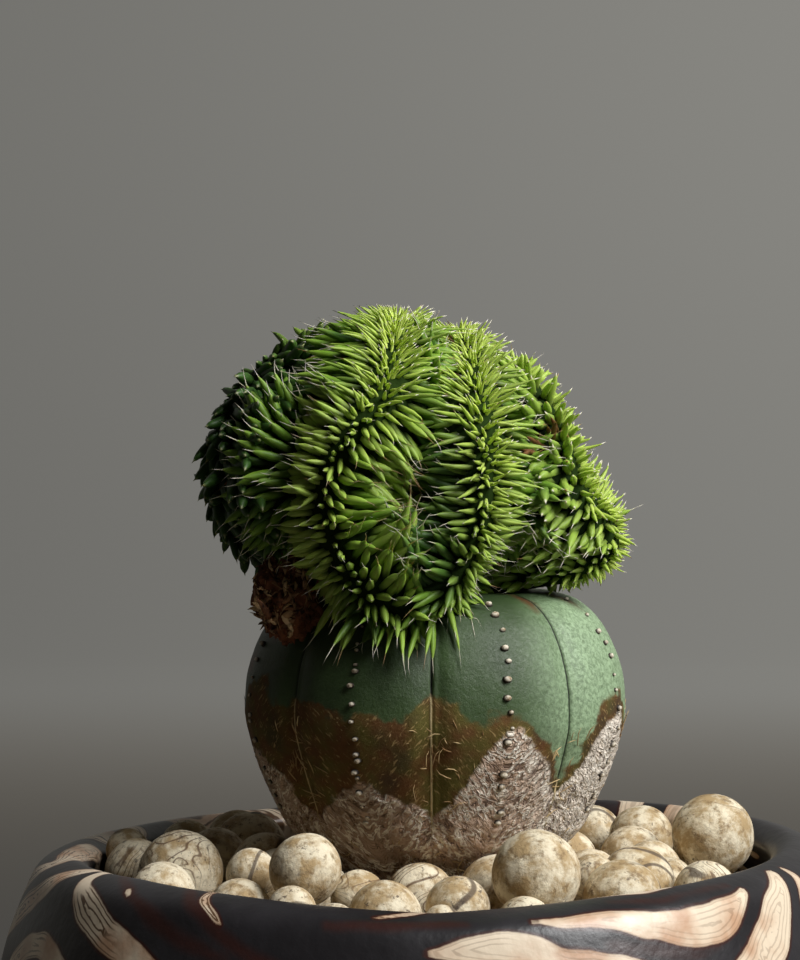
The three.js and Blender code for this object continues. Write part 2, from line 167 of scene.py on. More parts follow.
# Crested head: an ellipsoid with growing ridges and creases, as [azimuth, elevation] in degrees
# about its centre. Azimuth 0 is the front and 90 the right. A ridge point also says how young
# its tubercles are and how plump they grow, each from 0 to 1.
HEAD_CENTRE = np.array((-6.0, -5.0, 132.0))
HEAD_RADII = np.array((35.5, 34.5, 29.3))
RIDGE_RISE = 1.4
RIDGE_WIDTH = 6
CREASE_CUT = 8
CREASE_WIDTH = 3.2
UNDERSIDE = -68
RIDGES = [
    [[168, 5, 0.6, 0.2], [172, 35, 0.6, 0.1], [178, 65, 0.8, 0], [-4, 70, 1, 0],
     [-5, 28, 0.9, 0], [-17, 11, 0.4, 0.1], [-24, -7, 0.15, 0.2], [-18, -33, 0.05, 0.2],
     [8, -47, 0.1, 0.1], [26, -36, 0.35, 0], [28, -6, 0.75, 0], [29, 28, 0.95, 0],
     [60, 62, 0.95, 0], [110, 66, 0.8, 0], [140, 38, 0.6, 0.1], [140, 5, 0.5, 0.2],
     [128, -25, 0.5, 0.2]],
    [[83, -30, 0.85, 0.1], [84, -14, 0.85, 0.2], [73, -4, 0.8, 0.5], [73, 8, 0.65, 0.6],
     [75, 32, 0.6, 0.6], [92, 42, 0.5, 0.4], [104, 15, 0.5, 0.3], [98, -15, 0.5, 0.3]],
    [[-80, -32, 0, 0.9], [-86, -5, 0, 1], [-84, 22, 0, 1], [-86, 46, 0.1, 0.9],
     [-112, 60, 0.3, 0.6], [-140, 45, 0.4, 0.4], [-146, 12, 0.4, 0.4], [-140, -25, 0.4, 0.4]],
]
CREASES = [
    [[-49, -40], [-40, -17], [-34, 8], [-37, 28], [-49, 46], [-80, 68], [-150, 68],
     [-165, 40], [-166, 5], [-158, -30]],
    [[2, -8], [9, 8], [14, 24], [31, 52], [75, 76], [150, 70], [160, 42], [154, 8],
     [146, -25]],
    [[49, -40], [42, -8], [46, 13], [57, 38], [84, 54], [112, 42], [121, 12], [112, -25]],
    [[-110, -35], [-113, -8], [-113, 16], [-114, 38]],
]
# Swellings and hollows of the head: azimuth, elevation, width in degrees, rise in mm
SWELLS = [
    [83, -20, 15, 9], [6, -42, 22, 6.5], [92, 14, 20, -5], [72, 42, 24, -1], [-68, -46, 20, -6],
    [3, -7, 11, -12], [48, -38, 15, -10],
]
# Places where tubercles have withered: azimuth, elevation and width in degrees
WITHERED = [[60, 9, 7], [-56, 51, 8], [63, 66, 5], [-52, -2, 4]]
# The middle of the front ring, where its inner tubercles point
FUNNEL = [3, -9]

# Spots tried on the head, and how tubercles are kept off the stock, the remains and the CAD top
SPOT_COUNT = 120000
SEAT_RADIUS = 36
SEAT_GAP = 1.2
TOP_GAP = 0.1
FRINGE_SHARE = 0.45
TIP_CURL = 1.6

REMAINS_CENTRE = np.array((-26.5, -22.0, 109.5))
REMAINS_RADII = np.array((7.5, 6.5, 10.5))

# Stage: the camera in mm, the key light in metres from its target, and the room's light
CAMERA_PLACE = (-5.85, -482, 130.8)
KEY_TARGET = (0, 0, 0.1)
KEY_TOWARDS = (0.609, -0.426, 0.669)
KEY_DISTANCE = 0.8
KEY_SIZE = 0.42
ROOM_COLOUR = (1, 0.9, 0.68, 1)
ROOM_STRENGTH = 0.022
# The floor runs into a backdrop: where it starts to bend, the bend's radius and its top, in mm
COVE_REACH = 1250
COVE_CURVE = 350
COVE_TOP = 2200
# Where the pale floor round the bowl gives way to the grey backdrop, in metres
FLOOR_ENDS = (0.09, 0.14)
BACKDROP_BASE = (0.05, 0.05, 0.048)

# Further colours of the finishes, as they show on a screen
DUSTY_CLAY = (74, 72, 76)
WORN_CLAY = (128, 104, 70)
DARK_SOIL = (40, 28, 20)
LIGHT_SOIL = (92, 70, 50)
DARK_RUST = (52, 40, 16)
SCRATCHED = (186, 158, 104)
WARM_CORK = (164, 134, 110)
LOW_CORK = (92, 68, 50)
STAINED = (92, 54, 28)
GREEN_FURROW = (14, 18, 8)
DRY_FURROW = (206, 184, 138)
SCAR_RIM = (36, 26, 16)
SCAR_SHADE = (150, 130, 100)
DARK_FIBRE = (120, 86, 46)
PALE_FIBRE = (218, 190, 138)
SHADED_FLESH = (20, 30, 10)
GROWING_FLESH = (36, 54, 16)
TIP_HIGHLIGHT = (156, 186, 80)
PLUMP_TIP_HIGHLIGHT = (66, 100, 40)
BROWN_TIP = (150, 112, 74)
PLUMP_TIP = (110, 122, 70)
HUSK_CRACK = (40, 20, 14)
FRONT_FILL_GLOW = (255, 236, 206)
BACKDROP_GLOW = (255, 253, 244)


def shade(red, green, blue):
    """A screen colour of 0 to 255 as the linear colour that Blender's sockets take."""
    def linear(value):
        share = value / 255
        return share / 12.92 if share < 0.04045 else ((share + 0.055) / 1.055) ** 2.4
    return linear(red), linear(green), linear(blue)


def length_property(name, description, default):
    return bpy.props.FloatProperty(
        name=name, description=description, default=default, min=0, unit="LENGTH", precision=5)


def colour_property(name, description, rgb):
    return bpy.props.FloatVectorProperty(
        name=name, description=description, default=shade(*rgb), size=3, min=0, max=1,
        subtype="COLOR")


class BowlLook(bpy.types.PropertyGroup):
    steps: bpy.props.IntProperty(
        name="Turning steps", description="Faces round the bowl", default=440, min=24)
    dark: colour_property("Dark clay", "The bowl's black clay", (33, 31, 33))
    cream: colour_property("Cream clay", "The bowl's pale bands", (232, 214, 188))
    peach: colour_property("Peach clay", "Warmer clouds in the pale bands", (196, 156, 124))
    maroon: colour_property("Maroon edge", "Where the two clays meet", (58, 28, 22))
    line: colour_property("Fine line", "Thin lines inside the cream", (92, 62, 36))


class BallLook(bpy.types.PropertyGroup):
    cream: colour_property("Clay", "Body of the clay balls", (234, 222, 194))
    tan: colour_property("Tan clay", "Darker clouds in the balls", (178, 152, 110))
    line: colour_property("Swirl line", "Thin swirl lines on the balls", (96, 68, 44))
    stripe: colour_property("Stripe", "Broad dark stripes and specks", (74, 60, 50))


class StockLook(bpy.types.PropertyGroup):
    green: colour_property("Skin", "Waxy green skin", (56, 78, 38))
    deep_green: colour_property("Deep skin", "Darker green patches", (42, 60, 28))
    bloom_and_sheen: colour_property("Bloom", "Waxy bloom on the sunny side", (166, 192, 152))
    # The bloom colour is laid only on the lit right side: a real waxy bloom with a painted sheen
    olive: colour_property("Olive edge", "Skin that is turning to cork", (90, 82, 24))
    rust: colour_property("Rust", "Stains where the cork begins", (96, 60, 18))
    cork: colour_property("Cork", "Dry bark of the lower half", (208, 178, 154))
    # Pale cork is also laid on the cork's lit right side as painted light
    pale_cork: colour_property("Pale cork", "Crests of the bark's wrinkles", (255, 246, 230))
    dark_cork: colour_property("Dark cork", "Cracks and hollows of the bark", (76, 52, 38))
    scar: colour_property("Leaf scar", "Pale leaf scars on the ribs", (222, 212, 192))
    scar_spacing: length_property("Scar spacing", "From scar to scar along a rib", 0.0027)
    fibres: bpy.props.IntProperty(
        name="Fibres", description="Loose pale fibres on the bark", default=900, min=1)


class CrestLook(bpy.types.PropertyGroup):
    young_spacing: length_property("Young spacing", "Between tubercles on a ridge", 0.00098)
    grown_spacing: length_property("Grown spacing", "Between tubercles on a flank", 0.00172)
    plump_spacing: length_property("Plump spacing", "Between the fat ones at the left", 0.0024)
    young_length: length_property("Young length", "Tubercles on a ridge", 0.0068)
    grown_length: length_property("Grown length", "Tubercles on a flank, with dry tip", 0.0088)
    plump_length: length_property("Plump length", "The fat tubercles at the left", 0.0074)
    hair_length: length_property("Fringe length", "The hanging ones under the ring", 0.0105)
    young: colour_property("Young green", "Tubercles on a ridge", (204, 226, 108))
    grown: colour_property("Grown green", "Tubercles on a flank", (112, 150, 40))
    mature: colour_property("Mature green", "The darker ones on a flank", (68, 106, 34))
    plump: colour_property("Plump green", "The fat ones at the left", (42, 76, 24))
    shadow: colour_property("Deep green", "Foot of each tubercle", (18, 36, 8))
    hair: colour_property("Dry tip", "Dried leaf at each tubercle's tip", (240, 232, 206))
    withered: colour_property("Withered", "Dried up tubercles", (112, 76, 44))


class RemainsLook(bpy.types.PropertyGroup):
    flakes: bpy.props.IntProperty(
        name="Flakes", description="Curled dry flakes of dead shoots", default=280, min=1)
    brown: colour_property("Brown husk", "Darker flakes", (126, 74, 42))
    tan: colour_property("Tan husk", "Paler flakes", (240, 204, 150))


class StageLook(bpy.types.PropertyGroup):
    key_power: bpy.props.FloatProperty(
        name="Key light", description="Power of the soft light at the upper right", default=9.4,
        min=0, unit="POWER")
    lens: bpy.props.FloatProperty(
        name="Lens", description="Focal length on a 36 mm sensor", default=92.7, min=10,
        unit="CAMERA")
    floor: colour_property("Floor", "Pale floor round the bowl", (196, 194, 190))


# Node materials

class Finish:
    """A material in the making. Its methods add a node each and give back that node's output."""

    def __init__(self, name, roughness):
        self.material = bpy.data.materials.new(name)
        self.material.use_nodes = True
        self.nodes = self.material.node_tree.nodes
        self.links = self.material.node_tree.links
        self.skin = self.nodes["Principled BSDF"]
        self.feed(self.skin.inputs["Roughness"], roughness)
        self.place = self.nodes.new("ShaderNodeTexCoord").outputs["Object"]

    def feed(self, socket, value):
        if isinstance(value, bpy.types.NodeSocket):
            self.links.new(value, socket)
        elif socket.type == "RGBA":
            socket.default_value = (*value, 1)
        else:
            socket.default_value = value

    def node(self, kind, inputs, **settings):
        made = self.nodes.new("ShaderNode" + kind)
        for name, value in settings.items():
            setattr(made, name, value)
        for key, value in inputs.items():
            self.feed(made.inputs[key], value)
        return made

    def set(self, **values):
        for name, value in values.items():
            self.feed(self.skin.inputs[name.replace("_", " ").title()], value)

    def attribute(self, name):
        return self.node("Attribute", {}, attribute_name=name).outputs

    def math(self, operation, *values):
        inputs = dict(enumerate(values))
        return self.node("Math", inputs, operation=operation).outputs[0]

    def times(self, first, second):
        return self.math("MULTIPLY", first, second)

    def vector(self, operation, first, second):
        made = self.node("VectorMath", {0: first}, operation=operation)
        if operation == "SCALE":
            self.feed(made.inputs["Scale"], second)
        else:
            self.feed(made.inputs[1], second)
        return made.outputs[0]

    def noise(self, scale, detail=2.0, roughness=0.5, distortion=0.0, at=None):
        inputs = {"Vector": at or self.place, "Scale": scale, "Detail": detail,
                  "Roughness": roughness, "Distortion": distortion}
        return self.node("TexNoise", inputs).outputs[0]

    def warped(self, scale, reach, at=None):
        """The place pushed about by a slow noise, up to half of reach metres each way."""
        inputs = {"Vector": at or self.place, "Scale": scale, "Detail": 1.5}
        drift = self.node("TexNoise", inputs).outputs["Color"]
        centred = self.vector("SUBTRACT", drift, (0.5, 0.5, 0.5))
        return self.vector("ADD", at or self.place, self.vector("SCALE", centred, reach))

    def between(self, value, low, high, start=0.0, end=1.0):
        inputs = {0: value, 1: low, 2: high, 3: start, 4: end}
        return self.node("MapRange", inputs, interpolation_type="SMOOTHSTEP").outputs[0]

    def ramp(self, factor, stops):
        made = self.node("ValToRGB", {0: factor})
        elements = made.color_ramp.elements
        while len(elements) < len(stops):
            elements.new(1)
        for element, (position, colour) in zip(elements, stops):
            element.position = position
            element.color = (*colour, 1)
        return made.outputs[0]

    def mix(self, factor, first, second, blend="MIX"):
        inputs = {0: factor, 6: first, 7: second}
        return self.node("Mix", inputs, data_type="RGBA", blend_type=blend).outputs[2]

    def bump(self, height, distance, strength=1.0):
        inputs = {"Height": height, "Distance": distance, "Strength": strength}
        self.feed(self.skin.inputs["Normal"], self.node("Bump", inputs).outputs[0])


def marbled_clay(look):
    """Black and cream clay folded together and turned, with maroon where they meet. The mesh's
    pale and streak attributes say how deep in the pale clay or a red streak a point lies, in mm."""
    clay = Finish("marbled_clay", 0.36)
    waver = clay.times(clay.math("SUBTRACT", clay.noise(130, 3.0), 0.5), 1.1)
    depth = clay.math("ADD", clay.attribute("pale")[2], waver)
    streak = clay.math("ADD", clay.attribute("streak")[2], waver)
    split = clay.node("SeparateXYZ", {0: clay.place}).outputs
    # many thin lines at the left, hardly any in the broad areas at the right
    lined = clay.between(split[0], -0.03, 0.0, 0.95, 0.3)
    ripple = clay.math("PINGPONG", depth, 0.42)
    fine = clay.times(clay.between(ripple, 0.24, 0.36), lined)
    fine = clay.times(fine, clay.between(clay.noise(70, 1.0), 0.36, 0.5))
    peach = clay.between(clay.noise(90, 4.0), 0.42, 0.68)
    pale = clay.mix(peach, look.cream, look.peach)
    pale = clay.mix(fine, pale, look.line)
    pale = clay.mix(clay.between(depth, 0.0, 0.4, 0.5, 0.0), pale, look.line)
    smudge = clay.between(streak, -1.2, 0.8, 0.0, 0.75)
    dusty = clay.mix(clay.between(clay.noise(50, 3.0), 0.4, 0.75, 0.0, 0.3), look.dark,
                     shade(*DUSTY_CLAY))
    dark = clay.mix(smudge, dusty, look.maroon)
    dark = clay.mix(clay.between(depth, -0.7, -0.1), dark, look.maroon)
    clay.set(base_color=clay.mix(clay.between(depth, -0.12, 0.16), dark, pale))
    clay.bump(clay.noise(420, 3.0), 0.00012)
    return clay.material


def ball_clay(look):
    """Unglazed clay with thin swirl lines, a few broad stripes, clouds of tan and dark specks."""
    clay = Finish("ball_clay", 0.78)
    folded = clay.warped(60, 0.02)
    field = clay.noise(70, 1.5, 0.5, 0.6, folded)
    ripple = clay.math("PINGPONG", clay.times(field, 17.0), 0.5)
    lined = clay.between(clay.noise(34, 1.0), 0.5, 0.64)
    line = clay.times(clay.between(ripple, 0.36, 0.47), lined)
    sweep = clay.math("PINGPONG", clay.times(clay.noise(38, 1.0, 0.5, 0.8), 5.0), 0.5)
    stripe = clay.times(clay.between(sweep, 0.40, 0.46),
                       clay.between(clay.noise(52, 0.0), 0.5, 0.6))
    cloud = clay.between(clay.noise(210, 5.0, 0.66), 0.4, 0.62)
    worn = clay.between(clay.noise(480, 5.0, 0.75), 0.5, 0.68, 0.0, 0.85)
    body = clay.mix(cloud, look.cream, look.tan)
    body = clay.mix(worn, body, shade(*WORN_CLAY))
    speck = clay.times(clay.between(clay.noise(700, 4.0, 0.7), 0.6, 0.66),
                      clay.between(clay.noise(110, 1.0), 0.42, 0.6))
    marked = clay.mix(clay.times(line, 0.85), body, look.line)
    marked = clay.mix(clay.times(stripe, 0.8), marked, look.stripe)
    marked = clay.mix(clay.times(speck, 0.8), marked, look.stripe)
    clay.set(base_color=marked)
    clay.bump(clay.noise(500, 5.0, 0.65), 0.00035)
    return clay.material


def soil_finish():
    soil = Finish("dark_soil", 0.95)
    soil.set(base_color=soil.ramp(soil.noise(400, 4.0), [
        (0.3, shade(*DARK_SOIL)), (0.7, shade(*LIGHT_SOIL))]))
    soil.bump(soil.noise(700, 4.0), 0.0006)
    return soil.material


def stock_skin(look):
    """Waxy green skin above, then olive, then wrinkled cork. The mesh says where by its
    attributes, and its grain attribute runs along the wrinkles."""
    skin = Finish("rootstock_skin", 0.5)
    furrow = skin.attribute("furrow")[2]
    grain = skin.attribute("grain")[1]
    split = skin.node("SeparateXYZ", {0: skin.place}).outputs
    patch = skin.between(skin.noise(60, 4.0, 0.6), 0.35, 0.7)
    green = skin.mix(patch, look.green, look.deep_green)
    dusty = skin.between(skin.noise(1300, 5.0, 0.75, 0.5), 0.32, 0.66, 0.35, 0.95)
    # Painted sheen: the pale mottling is laid only on the right, where the key light falls
    sunny = skin.between(split[0], 0.014, 0.028, 0.03, 1.0)
    green = skin.mix(skin.times(dusty, sunny), green, look.bloom_and_sheen)
    ragged = skin.times(skin.math("SUBTRACT", skin.noise(420, 4.0, 0.65), 0.5), 0.9)
    olive = skin.math("ADD", skin.attribute("olive")[2], ragged)
    bark = skin.math("ADD", skin.attribute("bark")[2], ragged)
    # the bark's pale crests are the contours of a warped noise
    wander = skin.warped(500, 0.0022, skin.vector("MULTIPLY", grain, (1.0, 0.5, 1.0)))
    contour = skin.times(skin.noise(240, 3.0, 0.55, 0.5, wander), 3.2)
    crest = skin.times(skin.math("PINGPONG", contour, 0.5), 2.0)
    broken = skin.between(skin.noise(260, 3.0, 0.6), 0.38, 0.56)
    pale = skin.times(skin.between(crest, 0.55, 0.9), broken)
    hollow = skin.times(skin.between(crest, 0.05, 0.3, 1.0, 0.0),
                       skin.between(skin.noise(300, 2.0), 0.4, 0.55))
    scratch = skin.between(skin.noise(420, 2.0, 0.5, 1.0, grain), 0.6, 0.68)
    tanned = skin.mix(skin.between(skin.noise(170, 3.0), 0.35, 0.65), look.olive,
                      look.rust)
    tanned = skin.mix(skin.between(skin.noise(90, 2.0), 0.5, 0.68, 0.0, 0.7), tanned,
                      shade(*DARK_RUST))
    tanned = skin.mix(skin.times(scratch, 0.6), tanned, shade(*SCRATCHED))
    cork = skin.mix(skin.between(skin.noise(120, 4.0), 0.35, 0.7), look.cork,
                    shade(*WARM_CORK))
    low = skin.between(split[2], 0.05, 0.066, 0.75, 0.0)
    cork = skin.mix(low, cork, shade(*LOW_CORK))
    # Painted light: the cork turns pale on the right, where the key light falls
    cork = skin.mix(skin.times(sunny, 0.7), cork, look.pale_cork)
    cork = skin.mix(skin.times(hollow, 0.85), cork, look.dark_cork)
    cork = skin.mix(pale, cork, look.pale_cork)
    upper = skin.mix(skin.between(olive, 0.25, 0.75), green, tanned)
    stain = skin.math("ADD", skin.attribute("stain")[2], ragged)
    upper = skin.mix(skin.between(stain, 0.2, 0.9, 0.0, 0.85), upper, shade(*STAINED))
    whole = skin.mix(skin.between(bark, 0.3, 0.7), upper, cork)
    furrow_line = skin.mix(skin.between(olive, 0.3, 0.8), shade(*GREEN_FURROW), shade(*DRY_FURROW))
    skin.set(base_color=skin.mix(skin.between(furrow, 0.3, 0.8, 0.0, 0.9), whole, furrow_line))
    skin.set(roughness=skin.between(olive, 0.2, 0.8, 0.5, 0.85))
    relief = skin.times(crest, skin.between(bark, 0.2, 0.7, 0.0, 1.0))
    skin.bump(skin.math("ADD", relief, skin.times(dusty, 0.12)), 0.0006)
    return skin.material


def scar_finish(look):
    """Pale at the raised middle of a scar and dark at its rim; growth red says how far out."""
    scar = Finish("leaf_scar", 0.7)
    middle = scar.node("SeparateColor", {0: scar.attribute("growth")[0]}).outputs[0]
    pale = scar.ramp(scar.noise(1500, 2.0), [
        (0.35, shade(*SCAR_SHADE)), (0.55, look.scar)])
    scar.set(base_color=scar.mix(scar.between(middle, 0.35, 0.6), shade(*SCAR_RIM), pale))
    return scar.material


def fibre_finish():
    fibre = Finish("bark_fibre", 0.8)
    tint = fibre.node("SeparateColor", {0: fibre.attribute("growth")[0]}).outputs[2]
    fibre.set(base_color=fibre.mix(tint, shade(*DARK_FIBRE), shade(*PALE_FIBRE)))
    return fibre.material


def crest_flesh(look):
    """The head under its tubercles, painted dark as the shade between them, greener along the growing
    ridges.
    """
    flesh = Finish("crest_flesh", 0.9)
    growing = flesh.attribute("growing")[2]
    # Painted shade: the flesh seen between the tubercles is kept near black
    deep = flesh.ramp(flesh.noise(300, 3.0), [
        (0.3, shade(*SHADED_FLESH)), (0.7, look.shadow)])
    flesh.set(base_color=flesh.mix(growing, deep, shade(*GROWING_FLESH)))
    flesh.skin.inputs["Specular IOR Level"].default_value = 0.08
    flesh.bump(flesh.noise(800, 2.0), 0.0003)
    return flesh.material


def tubercle_skin(look):
    """Green from foot to tip, with a dry tip and painted shade at the foot. The mesh's growth
    colour holds the share along each tubercle (red), its age, lowered in places as painted light
    (green), a tint of its own, set inside the front ring as painted light and shade (blue), and
    how plump it is, raised inside the ring's right half as painted shade (alpha)."""
    skin = Finish("tubercle_skin", 0.5)
    growth = skin.node("SeparateColor", {0: skin.attribute("growth")[0]}).outputs
    along, age, tint = growth[0], growth[1], growth[2]
    # Alpha is how plump a tubercle is; inside the front ring's right half it is also painted shade
    fat = skin.attribute("growth")[3]
    darker = skin.math("SUBTRACT", skin.between(tint, 0.1, 0.5), skin.between(tint, 0.6, 0.8))
    old = skin.mix(darker, look.grown, look.mature)
    old = skin.mix(fat, old, look.plump)
    green = skin.mix(age, look.young, old)
    # Painted shade: each tubercle darkens towards its foot, where its neighbours shade it
    foot = skin.times(skin.between(along, 0.05, 0.45, 1.0, 0.0),
                     skin.between(age, 0.0, 0.7, 0.35, 1.0))
    body = skin.mix(foot, green, look.shadow)
    # Painted highlight: the body lightens towards the tip, where it stands out into the light
    tip_highlight = skin.mix(fat, shade(*TIP_HIGHLIGHT), shade(*PLUMP_TIP_HIGHLIGHT))
    body = skin.mix(skin.between(along, 0.5, 0.8, 0.0, 0.45), body, tip_highlight)
    tip = skin.between(along, 0.78, 0.86)
    dry = skin.mix(skin.between(tint, 0.7, 0.92), look.hair, shade(*BROWN_TIP))
    dry = skin.mix(skin.times(fat, 0.8), dry, shade(*PLUMP_TIP))
    whole = skin.mix(tip, body, dry)
    dead = skin.between(tint, 0.955, 0.965)
    skin.set(base_color=skin.mix(dead, whole, look.withered))
    skin.set(subsurface_weight=0.22, subsurface_scale=0.0016)
    skin.skin.inputs["Specular IOR Level"].default_value = 0.35
    skin.skin.inputs["Subsurface Radius"].default_value = (0.8, 1.0, 0.3)
    return skin.material


def husk_finish(look):
    husk = Finish("dry_husk", 0.85)
    tint = husk.node("SeparateColor", {0: husk.attribute("growth")[0]}).outputs[2]
    fibre = husk.noise(500, 4.0, 0.6, 1.0)
    body = husk.mix(tint, look.brown, look.tan)
    husk.set(base_color=husk.mix(husk.between(fibre, 0.45, 0.7), body, shade(*HUSK_CRACK)))
    husk.bump(fibre, 0.0004)
    return husk.material


def stage_finish(look):
    """Pale floor round the bowl, turning into a dark floor and backdrop further out which glow grey
    as painted light: brighter at the right and higher up, dim and warm in front, where the glow
    lights the plant as a fill.
    """
    stage = Finish("stage", 0.9)
    split = stage.node("SeparateXYZ", {0: stage.place}).outputs
    flat = stage.node("CombineXYZ", {0: split[0], 1: split[1]}).outputs[0]
    reach = stage.node("VectorMath", {0: flat}, operation="LENGTH").outputs[1]
    far = stage.between(reach, *FLOOR_ENDS)
    stage.set(base_color=stage.mix(far, look.floor, BACKDROP_BASE))
    # Painted light: the glow is brighter at the right and higher up, and dim and warm in front
    side = stage.between(split[0], -0.6, 0.6, 0.13, 0.21)
    front = stage.between(split[1], 0.1, 1.1, 0.1, 1.0)
    level = stage.between(split[2], -0.1, 0.55, 0.98, 1.14)
    shown = stage.times(stage.times(side, far), level)
    stage.set(emission_color=stage.mix(front, shade(*FRONT_FILL_GLOW), shade(*BACKDROP_GLOW)))
    stage.set(emission_strength=stage.times(shown, front))
    return stage.material


# Modelling by hand

def deselect():
    bpy.ops.object.select_all(action="DESELECT")


def in_place(piece, name, material, slot, *nodes):
    """A finished piece: named, at the origin, with its finish, riding on the part."""
    deselect()
    piece.select_set(True)
    bpy.context.view_layer.objects.active = piece
    bpy.ops.object.transform_apply(location=True, rotation=True, scale=True)
    bpy.ops.object.shade_smooth()
    piece.name = name
    piece.data.name = name
    piece.data.materials.clear()
    piece.data.materials.append(material)
    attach(piece, "root")
    if nodes:
        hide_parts(*nodes)
    return piece


def turned(outline, steps):
    """An outline of [radius, height], drawn by extruding a point and spun round the axis."""
    deselect()
    points = [Vector((radius * MM, 0, height * MM)) for radius, height in outline]
    bpy.ops.mesh.primitive_plane_add(size=MM, location=(0, 0, 0))
    bpy.ops.object.mode_set(mode="EDIT")
    bpy.ops.mesh.merge(type="CENTER")
    bpy.ops.transform.translate(value=points[0])
    for last, point in zip(points, points[1:]):
        bpy.ops.mesh.extrude_region_move(TRANSFORM_OT_translate={"value": point - last})
    bpy.ops.mesh.select_all(action="SELECT")
    bpy.ops.mesh.spin(
        steps=steps, angle=2 * math.pi, center=(0, 0, 0), axis=(0, 0, 1))
    bpy.ops.mesh.select_all(action="SELECT")
    bpy.ops.mesh.remove_doubles(threshold=MM / 1000)
    bpy.ops.mesh.normals_make_consistent(inside=False)
    bpy.ops.object.mode_set(mode="OBJECT")
    return bpy.context.object


def rounded(points, steps):
    """A smooth line through the points, steps points for each stretch (Catmull-Rom)."""
    given = np.array(points, float)
    padded = np.vstack((2 * given[0] - given[1], given, 2 * given[-1] - given[-2]))
    share = np.linspace(0, 1, steps, endpoint=False)[:, None]
    line = []
    for a, b, c, d in zip(padded, padded[1:], padded[2:], padded[3:]):
        line.append(0.5 * (2 * b + (c - a) * share + (2 * a - 5 * b + 4 * c - d) * share ** 2
                           + (3 * b - a - 3 * c + d) * share ** 3))
    return np.vstack((*line, given[-1]))


def corners(piece):
    """The piece's points in millimetres, as an array."""
    flat = np.zeros(len(piece.data.vertices) * 3)
    piece.data.vertices.foreach_get("co", flat)
    return flat.reshape(-1, 3) / MM


def move_corners(piece, points):
    piece.data.vertices.foreach_set("co", (np.asarray(points) * MM).ravel())
    piece.data.update()


def mark(piece, **marks):
    """A value for each point of the piece under each name, for its finish to read."""
    for name, values in marks.items():
        made = piece.data.attributes.new(name, "FLOAT", "POINT")
        made.data.foreach_set("value", values.astype(np.float32))


def taken_apart(piece):
    """The points and faces of a prototype, which is then removed."""
    points = corners(piece)
    faces = [list(face.vertices) for face in piece.data.polygons]
    bpy.data.objects.remove(piece)
    return points, faces


def clouds(points, scale, octaves=3):
    """Smooth noise of about -1 to 1 at each point; scale is the size of its clouds in mm."""
    return np.array([noise.fractal(Vector(p / scale), 0.7, 2.0, octaves) for p in points])


def spike(name, sides, profile):
    """One tubercle along +Z, one unit long: rings of (share along it, width) to a point."""
    deselect()
    narrowest = 0.01
    height, width = profile[0]
    bpy.ops.mesh.primitive_circle_add(
        vertices=sides, radius=width, fill_type="NGON", location=(0, 0, height))
    piece = bpy.context.object
    piece.name = name
    bpy.ops.object.mode_set(mode="EDIT")
    for higher, wider in profile[1:]:
        step = {"value": (0, 0, higher - height)}
        bpy.ops.mesh.extrude_region_move(TRANSFORM_OT_translate=step)
        wider = max(wider, narrowest)
        share = wider / width
        bpy.ops.transform.resize(
            value=(share, share, 1), center_override=(0, 0, higher))
        height, width = higher, wider
    bpy.ops.mesh.merge(type="CENTER")
    bpy.ops.mesh.select_all(action="SELECT")
    bpy.ops.mesh.normals_make_consistent(inside=False)
    bpy.ops.object.mode_set(mode="OBJECT")
    points, faces = taken_apart(piece)
    return points * MM, faces


# Prototypes of what repeats: shares along a tubercle and the width there
GROWN_PROFILE = [(0, 0.8), (0.2, 0.98), (0.42, 1.0), (0.6, 0.82), (0.71, 0.44), (0.77, 0.12),
                 (0.89, 0.07), (1, 0)]
PLUMP_PROFILE = [(0, 0.8), (0.2, 0.95), (0.6, 0.95), (0.78, 0.76), (0.88, 0.44), (0.93, 0.15),
                 (1, 0)]
YOUNG_PROFILE = [(0, 1.0), (0.3, 1.0), (0.6, 0.76), (0.85, 0.34), (1, 0)]
# Where on each the green body ends and the dry tip begins
BODY_END = {"young": 0.97, "grown": 0.74, "plump": 0.91}
FLAKE_PROFILE = [(0, 0.35), (0.25, 1.0), (0.6, 0.8), (0.85, 0.4), (1, 0)]
FIBRE_PROFILE = [(0, 0.5), (0.3, 1.0), (0.7, 0.8), (1, 0)]


def unit(vectors):
    return vectors / np.maximum(np.linalg.norm(vectors, axis=-1, keepdims=True), 1e-9)


def grown(shape, root, heading, bend, side, length, width, curl=0.0, flat=1.0):
    """Copies of one spike, each bent along its own line; all arrays hold one row a copy."""
    along = shape[:, 2]
    share = along[None, :, None]
    reach = np.asarray(length)[:, None, None]
    late = np.clip(share - 0.7, 0, 1) ** 2
    centre = root[:, None] + reach * (
        share * heading[:, None] + 0.5 * share ** 2 * bend[:, None]
        + curl * late * side[:, None])
    tangent = unit(heading[:, None] + share * bend[:, None])
    across = unit(np.cross(tangent, np.broadcast_to(bend[:, None] + 1e-3, tangent.shape)))
    up = np.cross(across, tangent)
    wide = np.asarray(width)[:, None, None]
    return centre + wide * (shape[None, :, 0, None] * across + flat * shape[None, :, 1, None] * up)


def piece_of(name, copies, faces, growth):
    """One mesh from many copies, with a growth colour for each point."""
    count, points = copies.shape[:2]
    mesh = bpy.data.meshes.new(name)
    all_faces = [[corner + i * points for corner in face] for i in range(count) for face in faces]
    mesh.from_pydata((copies.reshape(-1, 3) * MM).tolist(), [], all_faces)
    colours = np.ones((count * points, 4), np.float32)
    colours[:, :growth.shape[2]] = growth.reshape(count * points, growth.shape[2])
    mesh.attributes.new("growth", "FLOAT_COLOR", "POINT").data.foreach_set(
        "color", colours.ravel())
    piece = bpy.data.objects.new(name, mesh)
    bpy.context.scene.collection.objects.link(piece)
    return piece


